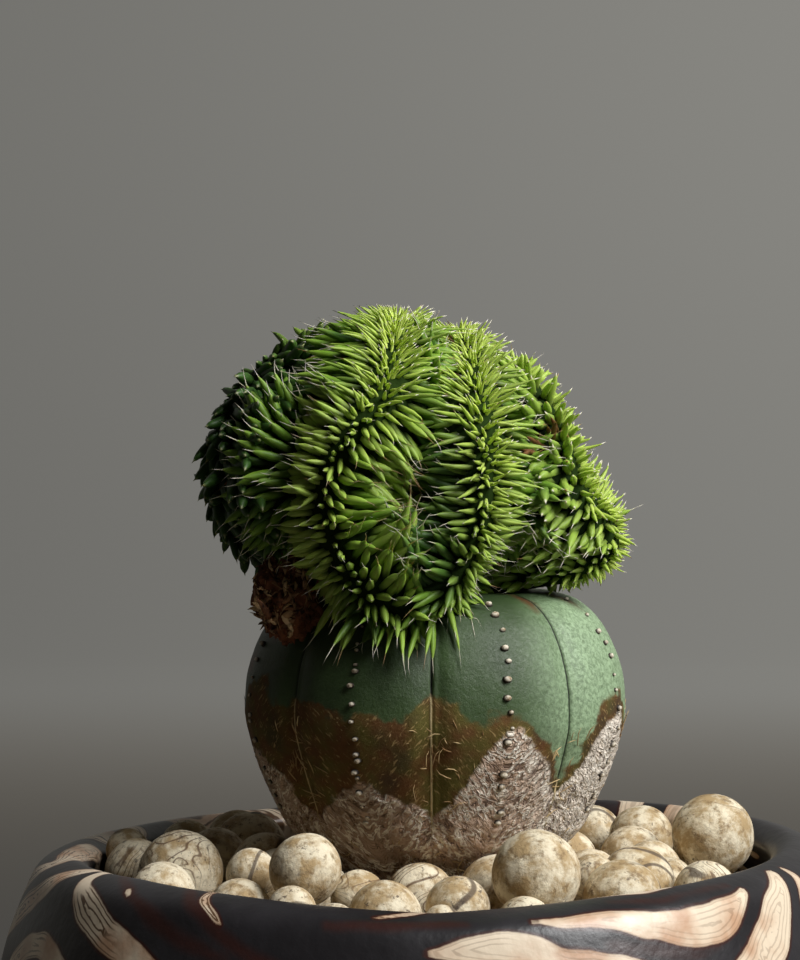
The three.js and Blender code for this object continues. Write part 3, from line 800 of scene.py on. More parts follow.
def growth_of(shape, age, tint, body_end=0.8, plump=None):
    """Red: share along the spike, 0.8 at the body's end. Green: age. Blue: tint of its own.
    Alpha: how plump. On the tubercles these three also carry painted light and shade."""
    along = np.interp(shape[:, 2], [0, body_end, 1], [0, 0.8, 1])
    along = np.broadcast_to(along, (len(age), len(shape)))
    own = [np.broadcast_to(value[:, None], along.shape)
           for value in (age, tint, 0 * age if plump is None else plump)]
    return np.stack((along, *own), -1)


# The rootstock's form

def stock_radius(height):
    """Radius of the unribbed stock at each height."""
    radii, heights = np.array(STOCK_PROFILE, float).T
    return np.interp(height, heights, radii)


def shoulder_height(radius):
    """Height of the stock's upper side at each distance from its axis."""
    upper = np.array([point for point in STOCK_PROFILE if point[1] >= 89], float)[::-1]
    return np.interp(radius, upper[:, 0], upper[:, 1])


def on_stock(height, angle, pressed=1):
    """Places on the stock, and there the directions out of it, round it and up along it."""
    radius = stock_radius(height) * pressed
    step = 0.5
    rise = stock_radius(height + step) - stock_radius(height - step)
    place = np.stack((STOCK_X + radius * np.cos(angle), radius * np.sin(angle), height), -1)
    outward = unit(np.stack((np.cos(angle), np.sin(angle), -rise), -1))
    across = unit(np.stack((-np.sin(angle), np.cos(angle), 0 * angle), -1))
    return place, outward, across, np.cross(outward, across)


def furrow_offset(angle):
    """Degrees from the nearest furrow, for an angle in radians from +X."""
    turn = np.degrees(angle) + 90 - FIRST_FURROW
    return np.abs((turn + HALF_RIB) % (2 * HALF_RIB) - HALF_RIB)


def smoothstep(value, low, high):
    share = np.clip((value - low) / (high - low), 0, 1)
    return share * share * (3 - 2 * share)


# The crest's form

def direction(azimuth, elevation):
    azimuth, elevation = np.radians(azimuth), np.radians(elevation)
    flat = np.cos(elevation)
    return np.stack((flat * np.sin(azimuth), -flat * np.cos(azimuth), np.sin(elevation)), -1)


def lines_on_head(lines):
    """Close points along each line, each with its direction along it and its own values."""
    drawn = []
    for line in lines:
        azimuth, elevation, *values = np.array(line, float).T
        course = rounded(np.column_stack((direction(azimuth, elevation), *values)), 26)
        course[:, :3] = unit(course[:, :3])
        along = unit(np.gradient(course[:, :3], axis=0))
        drawn.append(np.hstack((course[:, :3], along, course[:, 3:])))
    return np.vstack(drawn)


RIDGE_LINE = lines_on_head(RIDGES)
CREASE_LINE = lines_on_head(CREASES)[:, :3]
LOW_LINE = np.vstack((CREASE_LINE, direction(np.arange(0, 360, 5.0), np.full(72, UNDERSIDE))))
HEAD_SCALE = (HEAD_RADII[0] + HEAD_RADII[2]) / 2


def nearest(line, directions):
    """The nearest point of a line on the head, by its number, and how far away it is in mm."""
    best, closeness = [], []
    for some in np.array_split(directions, max(1, len(directions) // 6000)):
        dots = some @ line[:, :3].T
        best.append(dots.argmax(1))
        closeness.append(dots[np.arange(len(some)), best[-1]])
    return np.concatenate(best), np.arccos(np.clip(np.concatenate(closeness), -1, 1)) * HEAD_SCALE


def head_radius(directions):
    plain = 1 / np.linalg.norm(directions / HEAD_RADII, axis=1)
    ridge = nearest(RIDGE_LINE, directions)[1] / RIDGE_WIDTH
    crease = nearest(CREASE_LINE, directions)[1] / CREASE_WIDTH
    radius = plain + RIDGE_RISE * np.exp(-ridge ** 2) - CREASE_CUT * np.exp(-crease)
    for azimuth, elevation, width, rise in SWELLS:
        middle = direction(azimuth, elevation)
        away = np.degrees(np.arccos(np.clip(directions @ middle, -1, 1))) / width
        radius += rise * np.exp(-away ** 2)
    return radius


def head_point(directions):
    return HEAD_CENTRE + directions * head_radius(directions)[:, None]


def head_normal(directions):
    """Outward normals, from the slope of the head about each direction."""
    spare = np.where(np.abs(directions[:, 2:]) < 0.9, [[0, 0, 1.0]], [[1.0, 0, 0]])
    first = unit(np.cross(directions, spare))
    second = np.cross(directions, first)
    step = 0.02
    slopes = [head_point(unit(directions + side * step)) - head_point(unit(directions - side * step))
              for side in (first, second)]
    normal = unit(np.cross(slopes[0], slopes[1]))
    facing = np.sign((normal * directions).sum(1, keepdims=True))
    return normal * facing


def spread_over(count):
    """Directions spread evenly over a ball, in golden-angle order."""
    index = np.arange(count) + 0.5
    elevation = np.arcsin(1 - 2 * index / count)
    turn = index * GOLDEN_TURN
    return np.stack((np.cos(elevation) * np.cos(turn), np.cos(elevation) * np.sin(turn),
                     np.sin(elevation)), -1)


def thinned(points, spacing, order):
    """The points kept when each, in the given order, has to be its own spacing from the rest."""
    cell = spacing.max()
    kept, grid = [], {}
    keys = np.floor(points / cell).astype(int)
    around = [(i, j, k) for i in (-1, 0, 1) for j in (-1, 0, 1) for k in (-1, 0, 1)]
    points_list, keys_list, room = points.tolist(), keys.tolist(), spacing.tolist()
    for index in order:
        x, y, z = points_list[index]
        a, b, c = keys_list[index]
        clear = True
        for i, j, k in around:
            for other in grid.get((a + i, b + j, c + k), ()):
                u, v, w = points_list[other]
                reach = (room[index] + room[other]) / 2
                if (x - u) ** 2 + (y - v) ** 2 + (z - w) ** 2 < reach * reach:
                    clear = False
                    break
            if not clear:
                break
        if clear:
            kept.append(index)
            grid.setdefault((a, b, c), []).append(index)
    return np.array(kept)


def band_depth(bands, across, drop):
    """How deep inside the nearest band each point lies, in mm, below 0 outside them all."""
    deepest = np.full(len(across), -20.0)
    for band in bands:
        course = rounded(band, 12)
        for turn, low, half in course:
            away = np.hypot(across - math.radians(turn) * BAND_RADIUS, drop - low)
            deepest = np.maximum(deepest, half - away)
    return deepest


def clay_balls():
    """Each clay ball's node, with its centre and radius in metres."""
    for node in sorted(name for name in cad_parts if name.startswith("clay_ball_")):
        low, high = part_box(node)
        yield node, (low + high) / 2, (high.z - low.z) / 2


def clay_bands(points, angle, wall):
    """For each point of the bowl, how deep it lies in the pale clay and in a red streak."""
    run = np.concatenate(([0], np.cumsum(np.hypot(*np.diff(wall, axis=0).T))))
    radius = np.hypot(points[:, 0], points[:, 1])
    gap = (radius[:, None] - wall[None, :, 0]) ** 2 + (points[:, 2:] - wall[None, :, 1]) ** 2
    drop = run[wall[:, 1].argmax()] - run[gap.argmin(1)]
    front = (angle + 90 + 180) % 360 - 180
    across = np.radians(front) * BAND_RADIUS + 1.0 * clouds(points, 13, 2)
    down = drop + 0.9 * clouds(points + 90, 11, 2)
    # where the bowl isn't seen in the photo its bands follow a plain slow noise
    plain = 3 * np.sin(15 * clouds(points * (1, 1, 1.5), 60, 2)) - 0.9
    unseen = np.maximum(smoothstep(abs(front), *UNSEEN_ROUND),
                        smoothstep(drop, *UNSEEN_BELOW))
    unseen = np.maximum(unseen, smoothstep(-drop, *UNSEEN_INSIDE))
    pale = band_depth(PALE_BANDS, across, down)
    pale += (plain - pale) * unseen
    streak = band_depth(RED_STREAKS, across, down)
    streak += (1.2 * clouds(points + 40, 16, 2) - 0.9 - streak) * unseen
    return pale, streak


# Operators

class PLANT_OT_bowl(bpy.types.Operator):
    """Turn the marbled clay bowl"""
    bl_idname = "plant.bowl"
    bl_label = "Marbled bowl"

    def execute(self, context):
        look = context.scene.plant_bowl
        wall = rounded(BOWL_WALL, 7)
        wall[:, 0] = np.minimum(wall[:, 0], BOWL_REACH)
        piece = turned([*BOWL_FOOT, *wall[1:].tolist(), [0, BOWL_FLOOR]], look.steps)
        points = corners(piece)
        angle = np.degrees(np.arctan2(points[:, 1], points[:, 0]))
        pale, streak = clay_bands(points, angle, wall)
        rises, stations = np.array(LIP_RISES).T
        rise = np.interp(angle, stations, rises)
        points[:, 2] += rise * np.maximum(points[:, 2] / BOWL_LIP, 0) ** 4
        move_corners(piece, points)
        mark(piece, pale=pale, streak=streak)
        in_place(piece, "marbled_bowl", marbled_clay(look), "marbled_clay", "bowl")
        return {"FINISHED"}


class PLANT_OT_balls(bpy.types.Operator):
    """Roll the clay balls of the top layer, a little out of round"""
    bl_idname = "plant.balls"
    bl_label = "Clay balls"

    def execute(self, context):
        clay = ball_clay(context.scene.plant_balls)
        for node, centre, radius in clay_balls():
            deselect()
            bpy.ops.mesh.primitive_ico_sphere_add(subdivisions=5, radius=radius, location=centre)
            piece = bpy.context.object
            points = corners(piece)
            middle = np.array(centre) / MM
            lumps = clouds(points + middle, 9, 2) * BALL_LUMPS - BALL_SHRINK
            move_corners(piece, points * (1 + lumps[:, None]))
            in_place(piece, node + "_rolled", clay, "clay_ball", node)
        return {"FINISHED"}


class PLANT_OT_bed(bpy.types.Operator):
    """Fill between and under the clay balls with smaller ones"""
    bl_idname = "plant.bed"
    bl_label = "Bed of small balls"

    def execute(self, context):
        clay = ball_clay(context.scene.plant_balls)
        soil = soil_finish()
        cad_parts["soil"].data.materials.clear()
        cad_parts["soil"].data.materials.append(soil)
        taken = [(*(centre / MM), radius / MM) for _, centre, radius in clay_balls()]
        small = []
        draw = random.Random(5)
        for height in BED_LAYERS:
            for i in range(BED_TRIES):
                reach = BED_INNER + BED_SPREAD * math.sqrt(draw.random())
                turn = i * GOLDEN_TURN
                x, y = reach * math.cos(turn), reach * math.sin(turn)
                room = min(
                    math.dist((x, y, height), ball[:3]) - ball[3] for ball in taken + small)
                room = min(room, BED_WALL - reach, LARGEST_SMALL_BALL,
                           math.hypot(x - STOCK_X, y) - stock_radius(height) - BALL_GAP)
                if room > SMALLEST_BALL:
                    small.append((x, y, height, room))
        deselect()
        bpy.ops.mesh.primitive_ico_sphere_add(subdivisions=3, radius=MM)
        shape, faces = taken_apart(bpy.context.object)
        balls = np.array(small)
        copies = shape[None] * balls[:, None, 3:] + balls[:, None, :3]
        growth = np.zeros((len(balls), len(shape), 3))
        piece = piece_of("small_balls", copies, faces, growth)
        in_place(piece, "small_balls", clay, "grit", "grit_bed")
        slab = turned(
            [[19, 43.5], [70, 43.5], [69.5, BED_TOP], [45, BED_TOP + 0.8], [17, BED_TOP],
             [16, 44], [19, 43.5]], 96)
        points = corners(slab)
        top = smoothstep(points[:, 2], 46, 48)
        points[:, 2] += clouds(points, 4, 3) * 0.8 * top
        move_corners(slab, points)
        in_place(slab, "grit_layer", soil, "grit", "grit_bed")
        return {"FINISHED"}


class PLANT_OT_rootstock(bpy.types.Operator):
    """Turn the rootstock, then press its furrows and raise its bark"""
    bl_idname = "plant.rootstock"
    bl_label = "Rootstock"

    def execute(self, context):
        look = context.scene.plant_stock
        side = rounded(STOCK_PROFILE, 14)
        outline = [[0, STOCK_TIP], *side.tolist(), [12, STOCK_TOP], [0, STOCK_TOP]]
        piece = turned(outline, RIBS * RIB_STEPS)
        points = corners(piece)
        radius = np.hypot(points[:, 0], points[:, 1])
        height = points[:, 2].copy()
        pitch = 2 * math.pi / RIBS
        start = math.radians(FIRST_FURROW) - math.pi / 2
        across = (np.arctan2(points[:, 1], points[:, 0]) - start) / pitch
        angle = start + pitch * (across - RIB_CROWDING * np.sin(2 * math.pi * across))
        off = furrow_offset(angle)
        ribbed = smoothstep(height, *RIBBED_BETWEEN)
        pressed = np.exp(-(off / FURROW_WIDTH) ** 2) + RIB_FLATNESS * (1 - off / HALF_RIB)
        on_plan = np.stack((radius * np.cos(angle), radius * np.sin(angle), height), -1)
        patches = clouds(on_plan, 9, 4)
        turn = (np.degrees(angle) + 182) % 360 - 182
        stations, green_end, cork_start = np.array([*SKIN_EDGES, [178, *SKIN_EDGES[0][1:]]]).T
        olive = smoothstep(np.interp(turn, stations, green_end) + 4 * patches - height, -2, 3)
        bark = smoothstep(np.interp(turn, stations, cork_start) + 3 * patches - height, -2, 5)
        # wrinkles run down towards the middle of each rib
        from_rib = radius * np.radians(HALF_RIB - off)
        grain = np.stack((from_rib + height, 4.5 * (height - from_rib), 40 * np.floor(across)), -1)
        wrinkle = np.abs(clouds(grain, 5.5, 3))
        from_furrow = off * radius / DEGREES_IN_RADIAN
        line = np.exp(-(from_furrow / FURROW_LINE) ** 2) * ribbed * (radius > 20)
        stain = np.zeros(len(points))
        for turn_to, level, reach in STAINS:
            along = np.radians(turn - turn_to) * 32
            stain = np.maximum(stain, 1 - np.hypot(along, (height - level) * 1.2) / reach)
        lip = np.exp(-((from_furrow - 0.7) / 0.5) ** 2) * (across - np.floor(across) < 0.5)
        shown = smoothstep(height, 46, 52) * (radius > 14)
        grown_to = radius * (1 - FURROW_DEPTH * ribbed * pressed)
        grown_to += shown * (0.1 * patches + bark * (0.3 - 0.6 * wrinkle))
        grown_to += 0.18 * lip * ribbed - (0.4 - 0.55 * olive) * line
        points[:, 0] = STOCK_X + grown_to * np.cos(angle)
        points[:, 1] = grown_to * np.sin(angle)
        points[:, 2] = height
        move_corners(piece, points)
        mark(piece, bark=bark, furrow=line, olive=olive, stain=stain)
        piece.data.attributes.new("grain", "FLOAT_VECTOR", "POINT").data.foreach_set(
            "vector", (grain * MM).astype(np.float32).ravel())
        in_place(piece, "ribbed_stock", stock_skin(look), "rootstock_skin", "rootstock")
        return {"FINISHED"}


class PLANT_OT_leaf_scars(bpy.types.Operator):
    """Set a row of small pale leaf scars down each rib"""
    bl_idname = "plant.leaf_scars"
    bl_label = "Leaf scars"

    def execute(self, context):
        look = context.scene.plant_stock
        deselect()
        bpy.ops.mesh.primitive_uv_sphere_add(segments=8, ring_count=5, radius=MM)
        shape, faces = taken_apart(bpy.context.object)
        draw = random.Random(21)
        places, sizes = [], []
        for rib in range(RIBS):
            middle = FIRST_FURROW - 90 + (rib + 0.5) * 360 / RIBS
            height = 68 + draw.random()
            while height < 108:
                places.append((height, math.radians(middle + draw.uniform(-0.9, 0.9))))
                sizes.append(draw.uniform(0.38, 0.84))
                slope = max(0.35, math.cos(math.atan2(height - 88, 24)))
                gap = 0.45 if draw.random() < 0.2 else draw.uniform(0.85, 1.35)
                height += look.scar_spacing / MM * slope * gap
        heights, angles = np.array(places).T
        root, outward, across, up = on_stock(heights, angles)
        size = np.array(sizes)[:, None, None]
        # a low wide rim with a small dome in its middle, the same mesh pulled up
        reach = np.hypot(shape[:, 0], shape[:, 1])
        dome = 0.35 * shape[:, 2] + 0.75 * (shape[:, 2] > 0.5)
        copies = root[:, None] + size * (
            1.25 * shape[None, :, 0:1] * across[:, None] + 0.9 * shape[None, :, 1:2] * up[:, None]
            + dome[None, :, None] * outward[:, None])
        growth = np.zeros((*copies.shape[:2], 3))
        growth[:, :, 0] = 1 - 0.75 * reach
        piece = piece_of("leaf_scars", copies, faces, growth)
        in_place(piece, "leaf_scars", scar_finish(look), "rootstock_skin")
        return {"FINISHED"}


class PLANT_OT_fibres(bpy.types.Operator):
    """Scatter loose pale fibres over the olive and brown skin"""
    bl_idname = "plant.fibres"
    bl_label = "Bark fibres"

    def execute(self, context):
        count = context.scene.plant_stock.fibres
        draw = np.random.default_rng(12)
        angle = draw.uniform(-math.pi, math.pi, count)
        height = draw.uniform(56, 86, count)
        pressed = 1 - FURROW_DEPTH * 0.6 * smoothstep(height, *RIBBED_BETWEEN)
        root, outward, across, up = on_stock(height, angle, pressed)
        slant = draw.normal(0, 0.9, count)[:, None]
        heading = unit(up * np.cos(slant) + across * np.sin(slant) + 0.08 * outward)
        turned_by = np.cross(heading, outward)
        bend = turned_by * draw.uniform(-0.9, 0.9, (count, 1)) - 0.08 * outward
        side = unit(turned_by + 0.3 * outward)
        shape, faces = spike("fibre", 4, FIBRE_PROFILE)
        length = draw.uniform(1.2, 4, count)
        copies = grown(shape, root, heading, bend, side, length, draw.uniform(0.07, 0.15, count),
                       curl=1.5)
        growth = growth_of(shape, np.ones(count), draw.random(count))
        piece = piece_of("bark_fibres", copies, faces, growth)
        in_place(piece, "bark_fibres", fibre_finish(), "rootstock_skin")
        return {"FINISHED"}


class PLANT_OT_crest(bpy.types.Operator):
    """Shape the folded head under the tubercles"""
    bl_idname = "plant.crest"
    bl_label = "Crest"

    def execute(self, context):
        deselect()
        bpy.ops.mesh.primitive_ico_sphere_add(subdivisions=6, radius=MM)
        piece = bpy.context.object
        directions = unit(corners(piece))
        points = head_point(directions)
        over = np.hypot(points[:, 0] - STOCK_X, points[:, 1])
        floor = shoulder_height(over) + 0.3
        points[:, 2] = np.where(over < 37, np.maximum(points[:, 2], floor), points[:, 2])
        move_corners(piece, points)
        at, ridge = nearest(RIDGE_LINE, directions)
        growing = (1 - smoothstep(ridge, 2, 7)) * (0.4 + 0.6 * RIDGE_LINE[at, 6])
        mark(piece, growing=growing)
        in_place(piece, "crest_head", crest_flesh(context.scene.plant_crest), "crest_skin",
                 "crest")
        return {"FINISHED"}


def clear_of_stock(points):
    """Points that lie inside the rootstock, moved out or up to its surface."""
    flat = points.reshape(-1, 3)
    across = flat[:, 0] - STOCK_X
    over = np.hypot(across, flat[:, 1])
    side = stock_radius(flat[:, 2]) + 0.25 - over
    rise = shoulder_height(over) + 0.25 - flat[:, 2]
    inside = (side > 0) & (rise > 0) & (flat[:, 2] > 60)
    outward = inside & (side < rise)
    share = 1 + side / np.maximum(over, 1)
    flat[outward, 0] = STOCK_X + (across * share)[outward]
    flat[outward, 1] *= share[outward]
    upward = inside & ~outward
    flat[upward, 2] += rise[upward]
    return flat.reshape(points.shape)


class PLANT_OT_tubercles(bpy.types.Operator):
    """Cover the head in tubercles, small and close on its ridges, long and leaning between"""
    bl_idname = "plant.tubercles"
    bl_label = "Tubercles"

    def execute(self, context):
        look = context.scene.plant_crest
        draw = np.random.default_rng(4)
        spots = spread_over(SPOT_COUNT)
        base = head_point(spots)
        over = np.hypot(base[:, 0] - STOCK_X, base[:, 1])
        seated = (over > SEAT_RADIUS) | (base[:, 2] > shoulder_height(over) + SEAT_GAP)
        seated &= (((base - REMAINS_CENTRE) / REMAINS_RADII) ** 2).sum(1) > 0.9
        spots, base = spots[seated], base[seated]
        # young and close on the ridges, older and wider apart on the flanks
        at, ridge = nearest(RIDGE_LINE, spots)
        youth, plump = np.clip(RIDGE_LINE[at, 6:].T, 0, 1)
        age = 1 - youth ** 1.6 * (1 - smoothstep(ridge, 0.5, 7))
        age_and_painted_light = 1 - youth * (1 - smoothstep(ridge, 0, 5.5))
        seam = 1 - smoothstep(ridge, 0, 5)
        full = look.grown_spacing + (look.plump_spacing - look.grown_spacing) * plump
        spacing = (look.young_spacing + (full - look.young_spacing) * age) / MM
        spacing *= 1 - 0.2 * seam - 0.2 * (1 - smoothstep(ridge, 0.6, 2))
        order = np.argsort(np.round(ridge / 0.5) + draw.random(len(ridge)) * 0.9)
        kept = thinned(base, spacing, order)
        spots, base, at, age, seam = spots[kept], base[kept], at[kept], age[kept], seam[kept]
        ridge, spacing, plump, age_and_painted_light = ridge[kept], spacing[kept], plump[kept], age_and_painted_light[kept]
        count = len(spots)
        # they are combed away from their ridge, towards the nearest low line
        crease = nearest(CREASE_LINE, spots)[1]
        normal = head_normal(spots)
        low_at, low = nearest(LOW_LINE, spots)
        off, run = spots - RIDGE_LINE[at, :3], RIDGE_LINE[at, 3:6]
        away = unit(off - run * (off * run).sum(1, keepdims=True))
        towards = unit(LOW_LINE[low_at] - spots)
        comb = away + 0.6 * towards * smoothstep(low, 0.5, 6)[:, None]
        # inside the front ring they lie towards its middle, more so at the left
        middle = direction(*FUNNEL)
        inwards = unit(middle - spots)
        turn = np.degrees(np.arccos(np.clip(spots @ middle, -1, 1)))
        inside = (1 - smoothstep(turn, 26, 40)) * smoothstep((away * inwards).sum(1), -0.1, 0.5)
        drawn_in = inside * np.where(spots[:, 0] < middle[0], 1.6, 0.5)
        comb = comb + inwards * drawn_in[:, None]
        droop = 1.2 * smoothstep(-spots[:, 2], 0.42, 0.62) + 0.5 * plump * (spots[:, 0] < 0)
        comb = comb - droop[:, None] * (0, 0, 1)
        comb = unit(comb - normal * (comb * normal).sum(1, keepdims=True))
        flank = smoothstep(ridge, 0.6, 5.5)
        lean = (6 + 54 * flank) * (1 - age) + (14 + 52 * smoothstep(ridge, 0, 3.4)) * age
        lean += (74 - lean) * plump * (spots[:, 0] < 0)
        lean = np.radians(lean)[:, None]
        heading = normal * np.cos(lean) + comb * np.sin(lean)
        # the lowest ones hang as a fringe in front of the rootstock
        bearing = np.degrees(np.arctan2(spots[:, 0], -spots[:, 1]))
        fringe = smoothstep(-spots[:, 2], 0.6, 0.7) * (1 - smoothstep(abs(bearing - 5), 36, 50))
        fringe *= draw.random(count) < FRINGE_SHARE
        outward = unit((base - (STOCK_X, 0, 0)) * (1, 1, 0))
        hang = outward * 0.85 + np.array((0, 0, -0.5))
        heading = heading * (1 - fringe[:, None]) + hang * fringe[:, None]
        stray = 0.12 + 0.06 * age + 0.2 * (1 - smoothstep(ridge, 0.8, 2.2)) * (1 - age)
        heading = unit(heading + draw.normal(size=(count, 3)) * stray[:, None])
        bend = (0.2 * comb + 0.25 * normal) * age[:, None] + 0.4 * comb * (1 - age)[:, None]
        bend += draw.normal(size=(count, 3)) * 0.24 - fringe[:, None] * (0, 0, 0.4)
        side = unit(np.cross(normal, comb)) * draw.uniform(-1, 1, (count, 1))
        # shorter at the ridges, at the sides, in the creases and low down
        full = look.grown_length + (look.plump_length - look.grown_length) * plump
        length = (look.young_length + (full - look.young_length) * age) / MM
        length *= 1 - 0.22 * seam * age
        length *= 0.62 + 0.38 * smoothstep(ridge, 0, 3.5 * (1 - 0.7 * age) + 0.01)
        length *= 1 + 0.15 * inside * smoothstep(ridge, 2, 6)
        length *= 1 - 0.22 * smoothstep(abs(bearing), 55, 80) * (1 - plump)
        length *= 1 - 0.2 * smoothstep(-spots[:, 2], 0.35, 0.6)
        length *= (0.75 + 0.25 * smoothstep(crease, 0, 5)) * draw.uniform(0.8, 1.14, count)
        length += (look.hair_length / MM - length) * fringe
        width = 0.54 * spacing * draw.uniform(0.84, 1.02, count)
        width *= (0.84 + 0.16 * age) * (1 - 0.2 * fringe)
        width *= 1 + 0.25 * (1 - smoothstep(ridge, 0.8, 2.2)) * (1 - age)
        # tips are pale where the tint is low and brown where it is high
        tint = draw.random(count) * 0.95
        # Inside the front ring the tint is set as painted light and shade: a light green at the left
        # half, a dark green at the right half, which faces away from the light
        ring_light_and_shade_tint = np.where(spots[:, 0] < middle[0], 0.92, 0.5)
        tint += (ring_light_and_shade_tint - tint) * inside * (turn < 26) * 0.9
        # the ring's left flank keeps its pale curled tips
        tint *= 1 - 0.7 * smoothstep(-bearing, 26, 32) * (1 - smoothstep(-bearing, 42, 50))
        # and gets painted light there, as do the inside of the ring's left half and the right lobes
        painted_light = 0.5 * smoothstep(-bearing, 14, 24) * (1 - smoothstep(-bearing, 33, 38))
        painted_light *= 1 - smoothstep(spots[:, 2], 0.35, 0.6)
        painted_light += 0.3 * inside * (spots[:, 0] < middle[0]) * (bearing > -14)
        painted_light += 0.3 * smoothstep(bearing, 50, 60) * (1 - smoothstep(bearing, 100, 120))
        # the painted light lowers the age value, so these tubercles take the light young green
        age_and_painted_light = age_and_painted_light * (1 - painted_light)
        for azimuth, elevation, reach in WITHERED:
            off_it = np.degrees(np.arccos(np.clip(spots @ direction(azimuth, elevation), -1, 1)))
            dead = off_it < reach * draw.uniform(0.2, 1.2, count)
            tint[dead] = 1
            width[dead] *= 0.5
        # none of them reaches over the solids' box
        root = base - normal * (0.8 + 0.8 * (1 - age))[:, None]
        top = CAD_BOX[1].z / MM - TOP_GAP
        climb = heading[:, 2] + 0.5 * bend[:, 2] + TIP_CURL * 0.09 * abs(side[:, 2])
        room = (top - root[:, 2] - width) / np.maximum(climb, 0.05)
        length = np.where(climb > 0, np.minimum(length, room), length)
        # The plump colour is also given, as painted shade, to the tubercles inside the ring's right
        # half
        plump_and_painted_shade = np.maximum(plump * (bearing < 0), 0.4 * inside * (spots[:, 0] > middle[0]))
        # one piece for each kind, half and side of the head
        slender, fat = (1 - age) > 0.45, plump >= 0.5
        kinds = {
            "young": (slender, spike("young", 5, YOUNG_PROFILE)),
            "grown": (~slender & ~fat, spike("grown", 5, GROWN_PROFILE)),
            "plump": (~slender & fat, spike("plump", 6, PLUMP_PROFILE)),
        }
        sides = {"left": bearing < -5, "right": bearing >= -5}
        halves = {"front": abs(bearing) <= 90, "back": abs(bearing) > 90}
        skin = tubercle_skin(look)
        for kind, (chosen, (shape, faces)) in kinds.items():
            for half, near in halves.items():
                for where, on_side in sides.items():
                    pick = on_side & near & chosen
                    if not pick.any():
                        continue
                    copies = clear_of_stock(grown(
                        shape, root[pick], heading[pick], bend[pick], side[pick], length[pick],
                        width[pick], curl=TIP_CURL))
                    growth = growth_of(shape, age_and_painted_light[pick], tint[pick], BODY_END[kind],
                                       plump_and_painted_shade[pick])
                    name = f"{kind}_tubercles_{half}_{where}"
                    piece = piece_of(name, copies, faces, growth)
                    in_place(piece, name, skin, "crest_skin", "crest")
        return {"FINISHED"}


class PLANT_OT_remains(bpy.types.Operator):
    """Pile the dry brown flakes of dead shoots at the left of the graft"""
    bl_idname = "plant.remains"
    bl_label = "Dry remains"

    def execute(self, context):
        look = context.scene.plant_remains
        draw = np.random.default_rng(9)
        count = look.flakes
        out = unit(draw.normal(size=(count, 3)) + np.array((-0.5, -0.6, -0.1)))
        root = REMAINS_CENTRE + out * REMAINS_RADII * draw.uniform(0.5, 0.85, (count, 1))
        heading = unit(unit(np.cross(out, draw.normal(size=(count, 3)))) + 0.25 * out)
        bend = draw.normal(size=(count, 3)) * 0.7 - 0.8 * out
        side = unit(draw.normal(size=(count, 3)))
        shape, faces = spike("flake", 6, FLAKE_PROFILE)
        copies = grown(shape, root, heading, bend, side, draw.uniform(1.6, 4.2, count),
                       draw.uniform(0.3, 0.9, count), curl=2.5, flat=0.35)
        growth = growth_of(shape, np.ones(count), draw.random(count) ** 1.2)
        piece = piece_of("dry_flakes", copies, faces, growth)
        husk = husk_finish(look)
        in_place(piece, "dry_flakes", husk, "dry_husk", "dead_remains")
        deselect()
        bpy.ops.mesh.primitive_ico_sphere_add(subdivisions=5, radius=MM)
        lump = bpy.context.object
        directions = unit(corners(lump))
        crumpled = 0.86 + 0.3 * clouds(directions, 0.8, 2) - 0.5 * np.abs(clouds(directions, 0.35, 4))
        move_corners(lump, REMAINS_CENTRE + directions * REMAINS_RADII * crumpled[:, None])
        in_place(lump, "dead_lump", husk, "dry_husk", "dead_remains")
        return {"FINISHED"}


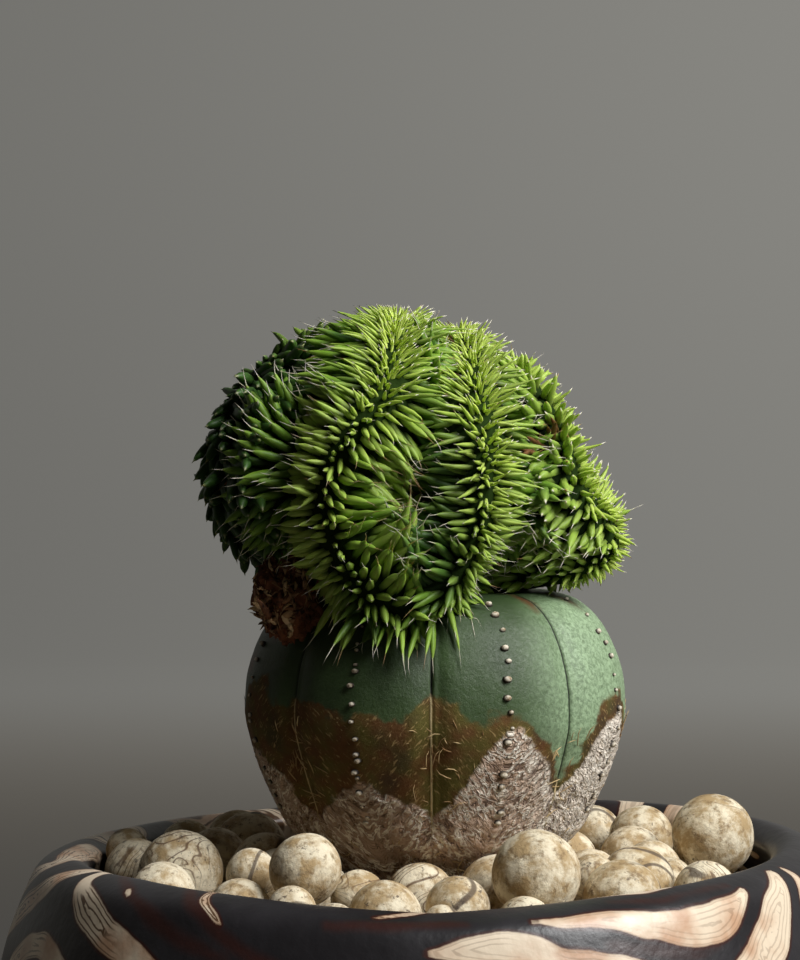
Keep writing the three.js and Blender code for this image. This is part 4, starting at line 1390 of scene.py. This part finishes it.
class PLANT_OT_stage(bpy.types.Operator):
    """Set the pale floor with its backdrop, the camera and the soft light"""
    bl_idname = "plant.stage"
    bl_label = "Stage"

    def execute(self, context):
        look = context.scene.plant_stage
        bend = [[COVE_REACH + COVE_CURVE * math.sin(a), COVE_CURVE - COVE_CURVE * math.cos(a)]
                for a in np.radians(np.arange(0, 91, 6))]
        top = [COVE_REACH + COVE_CURVE, COVE_TOP]
        cove = turned([[0, 0], [150, 0], [300, 0], *bend, top], 96)
        deselect()
        cove.select_set(True)
        bpy.ops.object.shade_smooth()
        cove.name = "floor_and_backdrop"
        cove.data.materials.append(stage_finish(look))
        bpy.ops.object.camera_add(
            location=[value * MM for value in CAMERA_PLACE], rotation=(math.pi / 2, 0, 0))
        camera = bpy.context.object
        camera.data.lens = look.lens
        camera.data.sensor_width = 36
        camera.data.clip_start = 0.01
        context.scene.camera = camera
        towards = Vector(KEY_TOWARDS).normalized()
        place = Vector(KEY_TARGET) + towards * KEY_DISTANCE
        bpy.ops.object.light_add(type="AREA", location=place)
        key = bpy.context.object
        key.data.energy = look.key_power
        key.data.size = KEY_SIZE
        key.rotation_mode = "QUATERNION"
        key.rotation_quaternion = (-towards).to_track_quat("-Z", "Y")
        key.visible_camera = False
        world = bpy.data.worlds.new("studio")
        world.use_nodes = True
        light = world.node_tree.nodes["Background"].inputs
        light["Color"].default_value = ROOM_COLOUR
        light["Strength"].default_value = ROOM_STRENGTH
        context.scene.world = world
        context.scene.view_settings.view_transform = "Standard"
        return {"FINISHED"}


class PLANT_PT_pieces(bpy.types.Panel):
    """Lists the plant's pieces"""
    bl_idname = "PLANT_PT_pieces"
    bl_label = "Potted euphorbia"
    bl_space_type = "VIEW_3D"
    bl_region_type = "UI"
    bl_category = "Plant"

    def draw(self, context):
        for operator in OPERATORS:
            self.layout.operator(operator.bl_idname)
        for name, group in LOOKS.items():
            box = self.layout.box()
            box.label(text=group.__name__)
            for key in group.__annotations__:
                box.prop(getattr(context.scene, name), key)


LOOKS = {
    "plant_bowl": BowlLook, "plant_balls": BallLook, "plant_stock": StockLook,
    "plant_crest": CrestLook, "plant_remains": RemainsLook, "plant_stage": StageLook,
}
OPERATORS = [
    PLANT_OT_bowl, PLANT_OT_balls, PLANT_OT_bed, PLANT_OT_rootstock, PLANT_OT_leaf_scars,
    PLANT_OT_fibres, PLANT_OT_crest, PLANT_OT_tubercles, PLANT_OT_remains, PLANT_OT_stage,
]
CLASSES = [*LOOKS.values(), *OPERATORS, PLANT_PT_pieces]


def register():
    for made in CLASSES:
        bpy.utils.register_class(made)
    for name, group in LOOKS.items():
        setattr(bpy.types.Scene, name, bpy.props.PointerProperty(type=group))


def unregister():
    for name in LOOKS:
        delattr(bpy.types.Scene, name)
    for made in reversed(CLASSES):
        bpy.utils.unregister_class(made)


def main():
    register()
    bpy.ops.plant.bowl()
    bpy.ops.plant.balls()
    bpy.ops.plant.bed()
    bpy.ops.plant.rootstock()
    bpy.ops.plant.leaf_scars()
    bpy.ops.plant.fibres()
    bpy.ops.plant.crest()
    bpy.ops.plant.tubercles()
    bpy.ops.plant.remains()
    bpy.ops.plant.stage()


if __name__ == "__main__":
    main()
